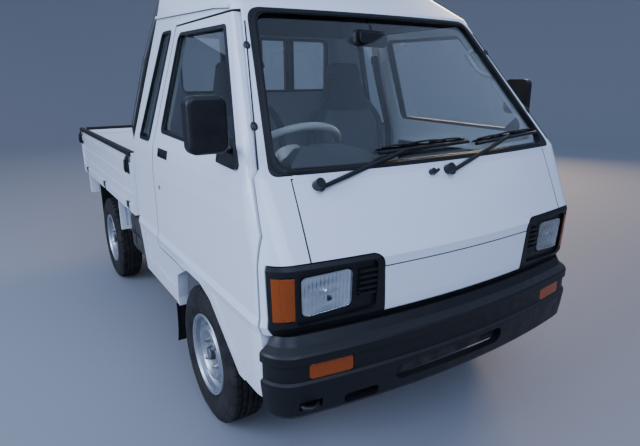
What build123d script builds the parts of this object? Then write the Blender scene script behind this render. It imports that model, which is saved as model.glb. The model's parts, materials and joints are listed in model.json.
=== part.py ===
from build123d import *
import os
from math import asin, cos, degrees, pi, radians, sin, sqrt

# A small cab-over flat-bed truck. Millimetres, +Z up, the front faces -Y, the driver sits on the -X side.
# The origin is on the ground, at mid-width and mid-length.

# Overall sizes
LENGTH = 3195.0
HALF_WIDTH = 697.5
WHEELBASE = 1810.0
FRONT_OVERHANG = 690.0
NOSE_Y = -LENGTH / 2
TAIL_Y = LENGTH / 2
FRONT_AXLE_Y = NOSE_Y + FRONT_OVERHANG
REAR_AXLE_Y = FRONT_AXLE_Y + WHEELBASE

# Cab
CAB_LENGTH = 1535.0
CAB_WALL = 40.0
CAB_REAR_Y = NOSE_Y + CAB_LENGTH
SILL_Z = 372.0
PANEL_FOOT_Z = 600.0
CREST_Z = 627.0
LAMP_TOP_Z = 800.0
BELT_Z = 1040.0
GUTTER_Z = 1540.0
ROOF_TOP_Z = 1840.0
SKIN_X = 690.0
FRONT_BOW = 3500.0
CREASE_Z = 918.0
BELT_INSET = 12.0
GUTTER_INSET = 157.0

# Doors
DOOR_FRONT_Y = NOSE_Y + 150.0
DOOR_REAR_Y = NOSE_Y + 1175.0
DOOR_SILL_Z = 578.0
DOOR_GAP = 8.0
DOOR_REAR_CANT = 10.0
GLASS = 5.0
GLASS_INSET = 10.0

# Wheels
TYRE_RADIUS = 271.0
TYRE_WIDTH = 145.0
RIM_RADIUS = 162.0
TRACK = 1210.0
HUB_BORE = 28.0
DISC_RING_RADIUS = 97.0
VENT_COUNT = 10
NUT_CIRCLE_RADIUS = 55.0
DRUM_RADIUS = 105.0

# Steering axis of the front wheels
KINGPIN_TILT = 12.0
KINGPIN_FOOT_X = 556.0
KINGPIN_FOOT_Z = 190.0
STRUT_TOP_Z = 640.0

# Load bed
BED_FRONT_Y = CAB_REAR_Y + 32.0
DECK_Z = 665.0
DECK_THICKNESS = 30.0
GATE_TOP_Z = 955.0
GATE_THICKNESS = 26.0
GATE_GAP = 9.5
HINGE_Z = DECK_Z - 15.0
HINGE_RADIUS = 5.5
POST_WIDTH = 46.0

# Frame rails
RAIL_X = 300.0
RAIL_WIDTH = 60.0
RAIL_HEIGHT = 85.0
RAIL_LOW_Z = 300.0
RAIL_HIGH_Z = 530.0


def block(low, high):
    """A box from its lowest to its highest corner."""
    size = [b - a for a, b in zip(low, high)]
    middle = [(a + b) / 2 for a, b in zip(low, high)]
    return Pos(*middle) * Box(*size)


def side_plate(points, x_low, x_high, radius=0.0):
    """An outline seen from the side, as (y, z) points, made solid between two x values."""
    path = FilletPolyline(*points, radius=radius, close=True) if radius else Polyline(*points, close=True)
    plane = Plane(origin=(x_low, 0, 0), x_dir=(0, 1, 0), z_dir=(1, 0, 0))
    return extrude(plane * make_face(path), x_high - x_low)


def front_plate(points, y_low, y_high, radius=0.0):
    """An outline seen from the front, as (x, z) points, made solid between two y values."""
    path = FilletPolyline(*points, radius=radius, close=True) if radius else Polyline(*points, close=True)
    plane = Plane(origin=(0, y_high, 0), x_dir=(1, 0, 0), z_dir=(0, -1, 0))
    return extrude(plane * make_face(path), y_high - y_low)


def bar(start, end, radius):
    """A round bar between two points."""
    run = Vector(*end) - Vector(*start)
    from_start = (Align.CENTER, Align.CENTER, Align.MIN)
    return Plane(origin=start, z_dir=run) * Cylinder(radius, run.length, align=from_start)


def mirrored(shape):
    """The same piece on the other side of the truck."""
    return mirror(shape, Plane.YZ)


def joined(pieces):
    """All the pieces as one shape."""
    whole = pieces[0]
    for piece in pieces[1:]:
        whole = whole + piece
    return whole


# Plan outlines of the cab, from the sill to the roof:
# height, setback of the front behind the nose, half width, corner radius, rear setback
CAB_ROWS = [
    (SILL_Z, 75.0, SKIN_X - 14, 95.0, 0.0),
    (PANEL_FOOT_Z, 50.0, SKIN_X + 3, 100.0, 0.0),
    (CREST_Z, 36.0, HALF_WIDTH, 104.0, 0.0),
    (CREST_Z + 25, 33.0, SKIN_X, 100.0, 0.0),
    (LAMP_TOP_Z, 25.0, SKIN_X - 1, 100.0, 0.0),
    (CREASE_Z, 77.0, SKIN_X, 88.0, 0.0),
    (BELT_Z - 40, 115.0, SKIN_X - 5, 70.0, 0.0),
    (BELT_Z, 133.5, SKIN_X - BELT_INSET, 52.0, 0.0),
    (GUTTER_Z, 541.5, SKIN_X - GUTTER_INSET, 40.0, 2.0),
    (ROOF_TOP_Z - 130, 838.0, SKIN_X - 198, 90.0, 8.0),
    (ROOF_TOP_Z - 43, 990.0, SKIN_X - 232, 110.0, 22.0),
    (ROOF_TOP_Z - 12, 1065.0, SKIN_X - 272, 100.0, 46.0),
    (ROOF_TOP_Z, 1117.0, SKIN_X - 345, 80.0, 90.0),
]


def cab_outline(row, inset):
    """One plan outline of the cab: a bowed front, round corners, straight sides and a flat back."""
    height, setback, half, corner, rear = row
    front = NOSE_Y + setback + inset
    half = half - inset
    corner = max(corner - inset, 12.0)
    back = CAB_REAR_Y - rear - inset
    bow_y = front + FRONT_BOW
    corner_x = half - corner
    corner_y = bow_y - sqrt((FRONT_BOW - corner) ** 2 - corner_x ** 2)
    lean = asin(corner_x / (FRONT_BOW - corner))
    touch = (FRONT_BOW * sin(lean), bow_y - FRONT_BOW * cos(lean))
    turn = (pi / 2 + lean) / 2
    middle = (corner_x + corner * sin(turn), corner_y - corner * cos(turn))
    rear_round = 30.0
    rear_middle = (half - rear_round * (1 - sqrt(0.5)), back - rear_round * (1 - sqrt(0.5)))
    right = [touch, middle, (half, corner_y), (half, back - rear_round), rear_middle, (half - rear_round, back)]
    left = [(-x, y) for x, y in right]
    edges = [
        ThreePointArc(left[0], (0, front), right[0]),
        ThreePointArc(right[0], right[1], right[2]),
        Line(right[2], right[3]),
        ThreePointArc(right[3], right[4], right[5]),
        Line(right[5], left[5]),
        ThreePointArc(left[5], left[4], left[3]),
        Line(left[3], left[2]),
        ThreePointArc(left[2], left[1], left[0]),
    ]
    return Pos(0, 0, height) * make_face(Wire(edges))


def cab_form(inset, floor=0.0):
    """The whole outside of the cab as a solid, moved inwards by an inset."""
    rows = [list(row) for row in CAB_ROWS]
    rows[0][0] += floor
    rows[-1][0] -= inset
    rows[-2][0] -= inset * 0.9
    rows[-3][0] -= inset * 0.5
    return loft([cab_outline(row, inset) for row in rows], ruled=True)


def skin_layer(outer_inset, inner_inset):
    """A layer of the cab's wall between two depths."""
    return cab_form(outer_inset) - cab_form(inner_inset)


cab_outside = cab_form(0.0)
cab_inside = cab_form(CAB_WALL, floor=-60.0)
cab_shell = cab_outside - cab_inside
glass_layer = skin_layer(GLASS_INSET, GLASS_INSET + GLASS)


def arch_outline(axle_y, grow=0.0):
    """The side view of the front wheel opening: a sloped front, a round top and an upright back."""
    return [
        (axle_y - 480 - grow, SILL_Z - 127),
        (axle_y - 150 - grow, 566 + grow),
        (axle_y - 60, 597 + grow),
        (axle_y + 90, 597 + grow),
        (axle_y + 232 + grow, 530 + grow),
        (axle_y + 276 + grow, 410),
        (axle_y + 276 + grow, SILL_Z - 127),
    ]


arch_cut = side_plate(arch_outline(FRONT_AXLE_Y), -800, 800, radius=40)

ROOF_SPLIT_Z = GUTTER_Z - 20.0
LIP_WIDTH = 30.0
LIP_RISE = 4.0
over_skin = cab_form(-5.0)
arch_lip = (cab_form(-LIP_RISE) - cab_form(CAB_WALL / 2)) & (
    side_plate(arch_outline(FRONT_AXLE_Y, LIP_WIDTH), -800, 800, radius=40) - arch_cut) & block(
    (-HALF_WIDTH, NOSE_Y, SILL_Z), (HALF_WIDTH, CAB_REAR_Y, CREST_Z))
side_shell = cab_shell + arch_lip
PILLAR_FOOT_Z = BELT_Z + 18.0
PILLAR_FOOT_Y = NOSE_Y + 211.0
PILLAR_TOP_Y = NOSE_Y + 566.0


def side_zone(depth):
    """Everything on the +X side from a depth inside the cab's side outwards."""
    return front_plate([
        (SKIN_X - 14 - depth, 0), (SKIN_X - 14 - depth, SILL_Z), (SKIN_X - depth, CREST_Z + 25),
        (SKIN_X - depth, CREASE_Z), (SKIN_X - BELT_INSET - depth, BELT_Z), (SKIN_X - GUTTER_INSET - depth, GUTTER_Z),
        (780, GUTTER_Z), (780, 0)], NOSE_Y, CAB_REAR_Y)


def door_outline(gap):
    """A door from the side, smaller all round by a gap; its bottom is cut by the wheel opening."""
    return [
        (DOOR_FRONT_Y + gap, SILL_Z), (DOOR_FRONT_Y + gap, BELT_Z - 150), (PILLAR_FOOT_Y + gap, PILLAR_FOOT_Z),
        (PILLAR_TOP_Y + gap * 1.4, ROOF_SPLIT_Z - gap), (DOOR_REAR_Y - gap * 1.5, ROOF_SPLIT_Z - gap),
        (DOOR_REAR_Y - gap, BELT_Z), (DOOR_REAR_Y - gap, DOOR_SILL_Z + gap), (FRONT_AXLE_Y + 100, DOOR_SILL_Z + gap),
        (FRONT_AXLE_Y, SILL_Z),
    ]


def door_blank(gap):
    """The space of one door on the +X side."""
    return (side_plate(door_outline(gap), 200, 760) - arch_cut) & side_zone(CAB_WALL + 8 - gap / 2)


WINDOW_CORNERS = [
    (NOSE_Y + 296, BELT_Z + 34),
    (NOSE_Y + 612, ROOF_SPLIT_Z - 42),
    (DOOR_REAR_Y - 62, ROOF_SPLIT_Z - 34),
    (DOOR_REAR_Y - 75, BELT_Z + 52),
]
QUARTER_CORNERS = [
    (DOOR_REAR_Y + 62, BELT_Z + 4),
    (DOOR_REAR_Y + 45, ROOF_SPLIT_Z - 14),
    (CAB_REAR_Y - 182, ROOF_SPLIT_Z - 14),
    (CAB_REAR_Y - 132, BELT_Z + 4),
]
CHANNEL_WIDTH = 13.0


def inner_corners(points, width):
    """The corners of a four-sided window moved inwards by a width."""
    middle_u = sum(u for u, v in points) / 4
    middle_v = sum(v for u, v in points) / 4
    return [(u + (width if u < middle_u else -width), v + (width if v < middle_v else -width)) for u, v in points]


window_space = side_plate(WINDOW_CORNERS, 200, 760, radius=34)
window_pane_space = side_plate(inner_corners(WINDOW_CORNERS, CHANNEL_WIDTH), 200, 760, radius=24)
quarter_space = side_plate(QUARTER_CORNERS, 200, 760, radius=24)
quarter_pane_space = side_plate(inner_corners(QUARTER_CORNERS, CHANNEL_WIDTH), 200, 760, radius=14)

SCREEN_CORNERS = [(-612, BELT_Z + 2), (612, BELT_Z + 2), (486, GUTTER_Z - 16), (-486, GUTTER_Z - 16)]
SEAL_WIDTH = 13.0
screen_space = front_plate(SCREEN_CORNERS, NOSE_Y - 20, NOSE_Y + 620, radius=62)
pane_space = front_plate(inner_corners(SCREEN_CORNERS, SEAL_WIDTH), NOSE_Y - 20, NOSE_Y + 620, radius=46)
REAR_WINDOW_CORNERS = [(-430, 1232), (430, 1232), (430, ROOF_SPLIT_Z - 8), (-430, ROOF_SPLIT_Z - 8)]
rear_window_space = front_plate(REAR_WINDOW_CORNERS, CAB_REAR_Y - 80, CAB_REAR_Y + 20, radius=30)
rear_pane_space = front_plate(
    inner_corners(REAR_WINDOW_CORNERS, CHANNEL_WIDTH), CAB_REAR_Y - 80, CAB_REAR_Y + 20, radius=20)

# Doors, whose rear edge is canted above the belt so that it swings out past the pillar
lean_run = Vector(BELT_INSET - GUTTER_INSET, 0, GUTTER_Z - BELT_Z)
cant_run = Vector(-cos(radians(DOOR_REAR_CANT)), -sin(radians(DOOR_REAR_CANT)), 0)
cant_corner = (SKIN_X - BELT_INSET, DOOR_REAR_Y - DOOR_GAP, BELT_Z)
cant_plane = Plane(origin=cant_corner, x_dir=lean_run, z_dir=cant_run.cross(lean_run))
cant_cut = (cant_plane * Box(3000, 1200, 500, align=(Align.CENTER, Align.CENTER, Align.MIN))) & block(
    (200, DOOR_REAR_Y - 120, BELT_Z), (760, DOOR_REAR_Y + 50, GUTTER_Z))
door = (side_shell & door_blank(DOOR_GAP)) - window_space - cant_cut
door_glass = glass_layer & window_pane_space & side_zone(CAB_WALL)
HANDLE_FRONT_Y = DOOR_REAR_Y - 214.0
HANDLE_REAR_Y = DOOR_REAR_Y - 78.0
HANDLE_LOW_Z = 996.0
HANDLE_HIGH_Z = 1032.0
HANDLE_DEPTH = 18.0
handle_space = block((600, HANDLE_FRONT_Y, HANDLE_LOW_Z), (760, HANDLE_REAR_Y, HANDLE_HIGH_Z))
door = door - (handle_space & (over_skin - cab_form(HANDLE_DEPTH)))
door_hole = door_blank(0.0)

# Cab shell, split where the real panels meet
both_door_holes = door_hole + mirrored(door_hole)
both_quarters = quarter_space + mirrored(quarter_space)
SPLIT_Y = DOOR_REAR_Y - 400.0
front_zone = block((-800, NOSE_Y - 50, PANEL_FOOT_Z), (800, SPLIT_Y, ROOF_SPLIT_Z))
rear_zone = block((-800, SPLIT_Y, SILL_Z - 10), (800, CAB_REAR_Y + 10, ROOF_SPLIT_Z))
roof_zone = block((-800, NOSE_Y, ROOF_SPLIT_Z), (800, CAB_REAR_Y + 10, ROOF_TOP_Z + 20))

# Front panels: a wide lid under the windshield, a nose panel, and the lamp bezels that wrap the corners
LAMP_INNER_X = 308.0
LAMP_SLANT = 20.0
BEZEL_TOP_Z = LAMP_TOP_Z + 12.0
BEZEL_REAR_Y = NOSE_Y + 126.0
BEZEL_STRIP = 19.0
LID_DEPTH = 14.0
BEZEL_DEPTH = 28.0
LID_HALF = 556.0
NOSE_TOP_Z = LAMP_TOP_Z - 32.0
PANEL_GAP = 4.0


def lamp_zone(grow):
    """The space of the +X bezel, larger all round by a gap: rounded above its inner end, slanted below."""
    outline = [
        (LAMP_INNER_X - grow, PANEL_FOOT_Z - 150), (LAMP_INNER_X + LAMP_SLANT - grow, BEZEL_TOP_Z - 60),
        (LAMP_INNER_X + LAMP_SLANT + 2 - grow, BEZEL_TOP_Z + grow), (800, BEZEL_TOP_Z + grow), (800, PANEL_FOOT_Z - 150),
    ]
    face_zone = front_plate(outline, NOSE_Y - 50, BEZEL_REAR_Y + grow, radius=38 + grow)
    return face_zone & block((0, NOSE_Y - 50, PANEL_FOOT_Z), (760, BEZEL_REAR_Y + grow, BEZEL_TOP_Z + grow))


def strip_zone(grow):
    """The space of the low strip that joins the two bezels under the nose panel."""
    return block((-LAMP_INNER_X - 60, NOSE_Y - 50, PANEL_FOOT_Z),
                 (LAMP_INNER_X + 60, NOSE_Y + 120, PANEL_FOOT_Z + BEZEL_STRIP + grow))


lid_layer = over_skin - cab_form(LID_DEPTH)
lid_back = over_skin - cab_form(LID_DEPTH + 3)
bezel_layer = over_skin - cab_form(BEZEL_DEPTH)
bezel_back = over_skin - cab_form(BEZEL_DEPTH + 2)
lamp_back = over_skin - cab_form(BEZEL_DEPTH - 6)
both_lamps = lamp_zone(0.0) + mirrored(lamp_zone(0.0)) + strip_zone(0.0)
both_lamps_gap = lamp_zone(PANEL_GAP) + mirrored(lamp_zone(PANEL_GAP)) + strip_zone(PANEL_GAP)
lid_zone = front_plate(
    [(-LID_HALF, NOSE_TOP_Z + PANEL_GAP), (LID_HALF, NOSE_TOP_Z + PANEL_GAP), (LID_HALF + 4, BELT_Z - 10),
     (-LID_HALF - 4, BELT_Z - 10)], NOSE_Y - 50, NOSE_Y + 190)
panel_gap_zone = front_plate(
    [(-LID_HALF - PANEL_GAP, PANEL_FOOT_Z - 5), (LID_HALF + PANEL_GAP, PANEL_FOOT_Z - 5),
     (LID_HALF + 4 + PANEL_GAP, BELT_Z - 10 + PANEL_GAP), (-LID_HALF - 4 - PANEL_GAP, BELT_Z - 10 + PANEL_GAP)],
    NOSE_Y - 50, NOSE_Y + 190)
nose_zone = block((-LAMP_INNER_X - 60, NOSE_Y - 50, PANEL_FOOT_Z), (LAMP_INNER_X + 60, NOSE_Y + 90, NOSE_TOP_Z))
cab_front = (cab_shell & front_zone) - both_door_holes - screen_space
cab_front = cab_front - (lid_back & panel_gap_zone) - (bezel_back & both_lamps_gap)
front_lid = (cab_outside & lid_layer & lid_zone) - both_lamps_gap
nose_panel = (cab_outside & lid_layer & nose_zone) - both_lamps_gap

# Lamps in the bezels, a dish round each head lamp and ribs inboard of it
HEAD_LAMP_CORNERS = [(430, 664), (584, 650), (590, 774), (430, 782)]
head_space = front_plate(HEAD_LAMP_CORNERS, NOSE_Y - 50, NOSE_Y + 105, radius=12)
CORNER_LAMP_X = 613.0
CORNER_LAMP_Y = NOSE_Y + 98.0
corner_space = block((CORNER_LAMP_X, NOSE_Y - 50, 645), (760, CORNER_LAMP_Y, 782))
DISH_DEPTH = 12.0
dish_zone = front_plate([(350, 640), (600, 626), (604, 792), (350, 796)], NOSE_Y - 50, NOSE_Y + 105, radius=18)
lamp_ribs = joined([block((352, NOSE_Y - 50, z), (410, NOSE_Y + 80, z + 7)) for z in (690, 708, 726, 744, 762)])
bezel_sides = cab_outside & bezel_layer & both_lamps
dish = (over_skin - cab_form(DISH_DEPTH)) & (dish_zone - lamp_ribs)
lamp_holes = (lamp_back & head_space) + (lamp_back & corner_space)
bezel = bezel_sides - dish - mirrored(dish) - lamp_holes - mirrored(lamp_holes)
head_lamp = skin_layer(5.0, BEZEL_DEPTH - 6) & head_space
corner_lamp = skin_layer(2.0, BEZEL_DEPTH - 6) & corner_space

# Rear part of the cab with the quarter windows and the sills, and the roof
cab_rear = (side_shell & rear_zone) - both_door_holes - both_quarters - rear_window_space - arch_cut
cab_rear = cab_rear - block((-610, CAB_REAR_Y - 60, SILL_Z - 20), (610, CAB_REAR_Y + 20, RAIL_HIGH_Z + RAIL_HEIGHT + 15))
sill_dent = side_plate(
    [(DOOR_REAR_Y - 196, PANEL_FOOT_Z - 152), (DOOR_REAR_Y - 218, PANEL_FOOT_Z - 36), (CAB_REAR_Y - 96, PANEL_FOOT_Z - 14),
     (CAB_REAR_Y - 96, PANEL_FOOT_Z - 152)], 200, 760, radius=18) & (over_skin - cab_form(4.0))
cab_rear = cab_rear - sill_dent - mirrored(sill_dent)
rail_space = side_plate(
    [(NOSE_Y + 606, GUTTER_Z - 14), (NOSE_Y + 606, GUTTER_Z - 2), (NOSE_Y + 748, GUTTER_Z + 12),
     (CAB_REAR_Y - 30, GUTTER_Z + 46), (CAB_REAR_Y - 30, GUTTER_Z + 34), (NOSE_Y + 748, GUTTER_Z)], 200, 760)
drip_rail = (cab_form(-8.0) - cab_form(6.0)) & rail_space
cab_roof = ((cab_shell & roof_zone) - screen_space) + drip_rail + mirrored(drip_rail)

# Glass and its rubber
windshield = glass_layer & pane_space
quarter_glass = glass_layer & quarter_pane_space
rear_glass = rear_pane_space & block(
    (-500, CAB_REAR_Y - 18 - GLASS, 1200), (500, CAB_REAR_Y - 18, GUTTER_Z))
seal_layer = over_skin - cab_form(26.0)
windshield_seal = seal_layer & (screen_space - pane_space)
quarter_seal = seal_layer & (quarter_space - quarter_pane_space)
SASH_X = 182.0
# Bars of the sliding rear window: middle of the bar, half its width
SASH_BARS = [(-SASH_X - 15, 9.0), (-SASH_X + 15, 9.0), (9.0, 8.0), (SASH_X - 15, 9.0), (SASH_X + 15, 9.0)]
dividers = joined([
    block((x - half, CAB_REAR_Y - 90, 1225), (x + half, CAB_REAR_Y + 20, ROOF_SPLIT_Z)) for x, half in SASH_BARS])
rear_seal = seal_layer & (rear_window_space - (rear_pane_space - dividers))
rear_glass = rear_glass - dividers

# Door fittings: the window's rubber channel with a division bar, the mirror on its foot, and the handle
channel_layer = cab_form(-2.0) - cab_form(22.0)
channel = channel_layer & (window_space - window_pane_space) & side_zone(CAB_WALL)
divider_zone = side_plate(
    [(DOOR_REAR_Y - 104, BELT_Z + 30), (DOOR_REAR_Y - 92, BELT_Z + 30), (DOOR_REAR_Y - 80, ROOF_SPLIT_Z - 36),
     (DOOR_REAR_Y - 92, ROOF_SPLIT_Z - 36)], 200, 760)
divider = divider_zone & window_pane_space & (cab_form(GLASS_INSET - 6) - cab_form(GLASS_INSET))
mirror_foot_zone = side_plate(
    [(NOSE_Y + 268, BELT_Z + 14), (NOSE_Y + 432, BELT_Z + 20), (NOSE_Y + 436, BELT_Z + 48), (NOSE_Y + 372, BELT_Z + 98),
     (NOSE_Y + 350, BELT_Z + 98)], 200, 760, radius=10)
mirror_foot = (cab_form(-12.0) - cab_form(GLASS_INSET)) & mirror_foot_zone
MIRROR_INNER_X = 722.0
MIRROR_OUTER_X = 832.0
MIRROR_LOW_Z = 1114.0
MIRROR_HIGH_Z = 1263.0
MIRROR_DEPTH = 42.0
MIRROR_Y = DOOR_FRONT_Y + 62.0
mirror_head = front_plate(
    [(MIRROR_INNER_X, MIRROR_LOW_Z), (MIRROR_OUTER_X, MIRROR_LOW_Z), (MIRROR_OUTER_X, MIRROR_HIGH_Z),
     (MIRROR_INNER_X, MIRROR_HIGH_Z)], MIRROR_Y, MIRROR_Y + MIRROR_DEPTH, radius=24)
mirror_head = fillet(mirror_head.faces().sort_by(Axis.Y)[0].edges(), 12)
MIRROR_PIN_X = 668.0
MIRROR_PIN_Y = NOSE_Y + 350.0
mirror_arm = bar((MIRROR_PIN_X, MIRROR_PIN_Y, BELT_Z + 62), (MIRROR_INNER_X + 16, MIRROR_Y + 30, MIRROR_LOW_Z + 24), 10)
handle_inside = block((600, HANDLE_FRONT_Y + 2, HANDLE_LOW_Z + 2), (760, HANDLE_REAR_Y - 2, HANDLE_HIGH_Z - 2))
handle_cup = (cab_form(-1.0) - cab_form(HANDLE_DEPTH)) & handle_inside
handle_hollow = block((600, HANDLE_FRONT_Y + 8, HANDLE_LOW_Z + 6), (760, HANDLE_REAR_Y - 8, HANDLE_HIGH_Z - 14))
handle_cup = handle_cup - (handle_hollow & (over_skin - cab_form(HANDLE_DEPTH - 5)))
MIRROR_FOLD = 96.0
MIRROR_LIFT = 32.0


def mirror_at(fold, lift):
    """The mirror and its arm, lifted and turned back about an upright pin in the foot."""
    turn_back = Pos(MIRROR_PIN_X, MIRROR_PIN_Y, lift) * Rot(0, 0, fold) * Pos(-MIRROR_PIN_X, -MIRROR_PIN_Y, 0)
    pin = bar((MIRROR_PIN_X, MIRROR_PIN_Y, BELT_Z + 40), (MIRROR_PIN_X, MIRROR_PIN_Y, BELT_Z + 72 + lift), 9)
    return turn_back * mirror_head + turn_back * mirror_arm + (pin - door)


window_frame = channel + divider
mirror_foot = mirror_foot - door - window_frame


def trim_of(mirror):
    """The fittings of one door with its mirror."""
    carried = mirror_foot + mirror - window_frame - door_glass
    fittings = window_frame + carried
    return Compound(children=list(fittings.solids()) + list((handle_cup - door).solids()))


door_trim = trim_of(mirror_at(0.0, 0.0))
door_trim_folded = trim_of(mirror_at(MIRROR_FOLD, MIRROR_LIFT))

# Wipers: a pivot on the lid, an arm and a blade on the glass for each side, and a washer nozzle


def front_skin(x, z, out):
    """A point at a distance in front of the cab's front, inside its rounded corners."""
    for low, high in zip(CAB_ROWS, CAB_ROWS[1:]):
        if low[0] <= z <= high[0]:
            share = (z - low[0]) / (high[0] - low[0])
            setback = low[1] + (high[1] - low[1]) * share
    return (x, NOSE_Y + setback + FRONT_BOW - sqrt(FRONT_BOW ** 2 - x ** 2) - out, z)


def wiper(pivot, arm_end, blade_start, blade_end):
    """One wiper, from (x, z) points on the cab's front."""
    base = Plane(origin=front_skin(*pivot, -6), z_dir=(0, -1, 0.55)) * Cylinder(
        15, 32, align=(Align.CENTER, Align.CENTER, Align.MIN))
    return joined([
        base,
        bar(front_skin(*pivot, 20), front_skin(*arm_end, 17), 7),
        bar(front_skin(*blade_start, 15), front_skin(*blade_end, 15), 6),
    ])


wiper_right = wiper((-491, 1008), (-150, 1088), (-261, 1084), (126, 1092))
wiper_left = wiper((-11, 1012), (363, 1096), (161, 1083), (556, 1096))
nozzle = joined([
    Plane(origin=front_skin(-83, 1011, -4), z_dir=(0, -1, 0.55)) * Cylinder(
        9, 22, align=(Align.CENTER, Align.CENTER, Align.MIN)),
    bar(front_skin(-83, 1011, 12), front_skin(-60, 1022, 16), 5),
])
wipers = [piece - cab_outside - windshield_seal for piece in (wiper_right, wiper_left, nozzle)]

# Cab floor: a low foot well in front, a sloped riser over the wheels and a raised seat platform
FLOOR_X = 618.0
FLOOR_LOW_Z = 400.0
FLOOR_HIGH_Z = 650.0
FLOOR_THICK = 30.0
floor_line = [
    (NOSE_Y + 100, FLOOR_LOW_Z), (FRONT_AXLE_Y - 372, FLOOR_LOW_Z), (FRONT_AXLE_Y - 170, FLOOR_HIGH_Z),
    (CAB_REAR_Y - CAB_WALL - 14, FLOOR_HIGH_Z), (CAB_REAR_Y - CAB_WALL - 14, FLOOR_HIGH_Z + FLOOR_THICK),
    (FRONT_AXLE_Y - 185, FLOOR_HIGH_Z + FLOOR_THICK), (FRONT_AXLE_Y - 387, FLOOR_LOW_Z + FLOOR_THICK),
    (NOSE_Y + 100, FLOOR_LOW_Z + FLOOR_THICK),
]
cab_floor = side_plate(floor_line, -FLOOR_X, FLOOR_X) & cab_form(CAB_WALL)
toe_board = skin_layer(CAB_WALL, CAB_WALL + 20) & block((-700, NOSE_Y, FLOOR_LOW_Z), (700, DOOR_FRONT_Y, FLOOR_HIGH_Z))
cab_floor = cab_floor + toe_board

# Dashboard with the instrument binnacle
dash_line = [
    (NOSE_Y + 170, 1000), (NOSE_Y + 210, 1020), (NOSE_Y + 330, 1010), (NOSE_Y + 400, 960), (NOSE_Y + 400, 880),
    (NOSE_Y + 330, 830), (NOSE_Y + 150, 830),
]
DRIVER_X = -395.0
HOOD_LINE = [(-545, 990), (-525, 1058), (-480, 1098), (-412, 1107), (-330, 1105), (-260, 1086), (-200, 1052), (-150, 990)]
HOOD_FRONT_Y = NOSE_Y + 205.0
HOOD_REAR_Y = NOSE_Y + 303.0
hood = front_plate(HOOD_LINE, HOOD_FRONT_Y, HOOD_REAR_Y, radius=14)
hood_mouth = front_plate([(-525, 985), (-508, 1050), (-470, 1084), (-412, 1093), (-332, 1091), (-268, 1073), (-218, 1044),
                          (-176, 985)], HOOD_REAR_Y - 42, HOOD_REAR_Y + 1, radius=12)
hood_neck = block((-545, HOOD_FRONT_Y + 30, 980), (-150, HOOD_REAR_Y, 1006))
outlets = joined([block((x, NOSE_Y + 385, 905), (x + 110, NOSE_Y + 402, 945)) for x in (-130, 0, 470)])
outlet_bars = joined([block((x, NOSE_Y + 384, z), (x + 110, NOSE_Y + 398, z + 3)) for x in (-130, 0, 470)
                      for z in (912, 920, 928, 936)])
glove_line = block((150, NOSE_Y + 392, 890), (455, NOSE_Y + 402, 896))
dashboard = side_plate(dash_line, -600, 600) - outlets + outlet_bars - glove_line
dashboard = (dashboard + hood - hood_mouth + hood_neck) & cab_form(CAB_WALL + 12)

# Seats
SEAT_FOOT_Z = FLOOR_HIGH_Z + FLOOR_THICK + 2
SEAT_BACK_Y = CAB_REAR_Y - 400
SEAT_X = 292.0
SEAT_HALF = 236.0
cushion = side_plate(
    [(SEAT_BACK_Y - 480, SEAT_FOOT_Z), (SEAT_BACK_Y - 500, 800), (SEAT_BACK_Y - 60, 772), (SEAT_BACK_Y, SEAT_FOOT_Z)],
    -SEAT_HALF, SEAT_HALF)
back_right = [(SEAT_HALF - 8, SEAT_FOOT_Z), (SEAT_HALF, 1095), (SEAT_HALF - 24, 1143), (168, 1192), (128, 1228), (106, 1300),
              (80, 1384), (58, 1400)]
back_rest = front_plate([(-x, z) for x, z in back_right] + back_right[::-1], SEAT_BACK_Y - 120, SEAT_BACK_Y + 110,
                        radius=12) & side_plate(
    [(SEAT_BACK_Y - 90, SEAT_FOOT_Z), (SEAT_BACK_Y - 70, 800), (SEAT_BACK_Y - 10, 1150), (SEAT_BACK_Y + 20, 1400),
     (SEAT_BACK_Y + 80, 1400), (SEAT_BACK_Y + 76, 1150), (SEAT_BACK_Y + 10, SEAT_FOOT_Z)], -260, 260)
cushion = fillet(cushion.faces().filter_by(Axis.X).edges(), 20)
seat = cushion + back_rest
seats = Compound(children=[Pos(-SEAT_X, 0, 0) * seat, Pos(SEAT_X, 0, 0) * seat])

# Steering wheel and column
WHEEL_HUB_Y = NOSE_Y + 492.5
WHEEL_HUB_Z = 1052.0
COLUMN_TILT = 36.0
STEERING_RADIUS = 178.0
COLUMN_LENGTH = 500.0
column_frame = Plane(origin=(DRIVER_X, WHEEL_HUB_Y, WHEEL_HUB_Z), x_dir=(1, 0, 0),
                     z_dir=(0, sin(radians(COLUMN_TILT)), cos(radians(COLUMN_TILT))))
column_run = Vector(0, -sin(radians(COLUMN_TILT)), -cos(radians(COLUMN_TILT)))
column_top = Vector(DRIVER_X, WHEEL_HUB_Y, WHEEL_HUB_Z) + column_run * 34
column_foot = Vector(DRIVER_X, WHEEL_HUB_Y, WHEEL_HUB_Z) + column_run * COLUMN_LENGTH
steering_column = bar(column_top, column_foot, 22) + bar(
    column_foot + Vector(0, 0, 10), (DRIVER_X, column_foot.Y, FLOOR_LOW_Z + FLOOR_THICK - 1), 14)
dashboard = dashboard - bar(Vector(DRIVER_X, WHEEL_HUB_Y, WHEEL_HUB_Z) + column_run * -100, column_foot, 24)
steering_column = steering_column - cab_floor
steering_wheel = column_frame * (
    Torus(STEERING_RADIUS, 13) + Pos(0, 0, -8) * Cylinder(45, 40)
    + joined([Rot(0, 0, a) * (Pos(STEERING_RADIUS / 2, 0, -4) * Box(STEERING_RADIUS, 26, 12))
              for a in (12, 90, 168)])
)


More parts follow.
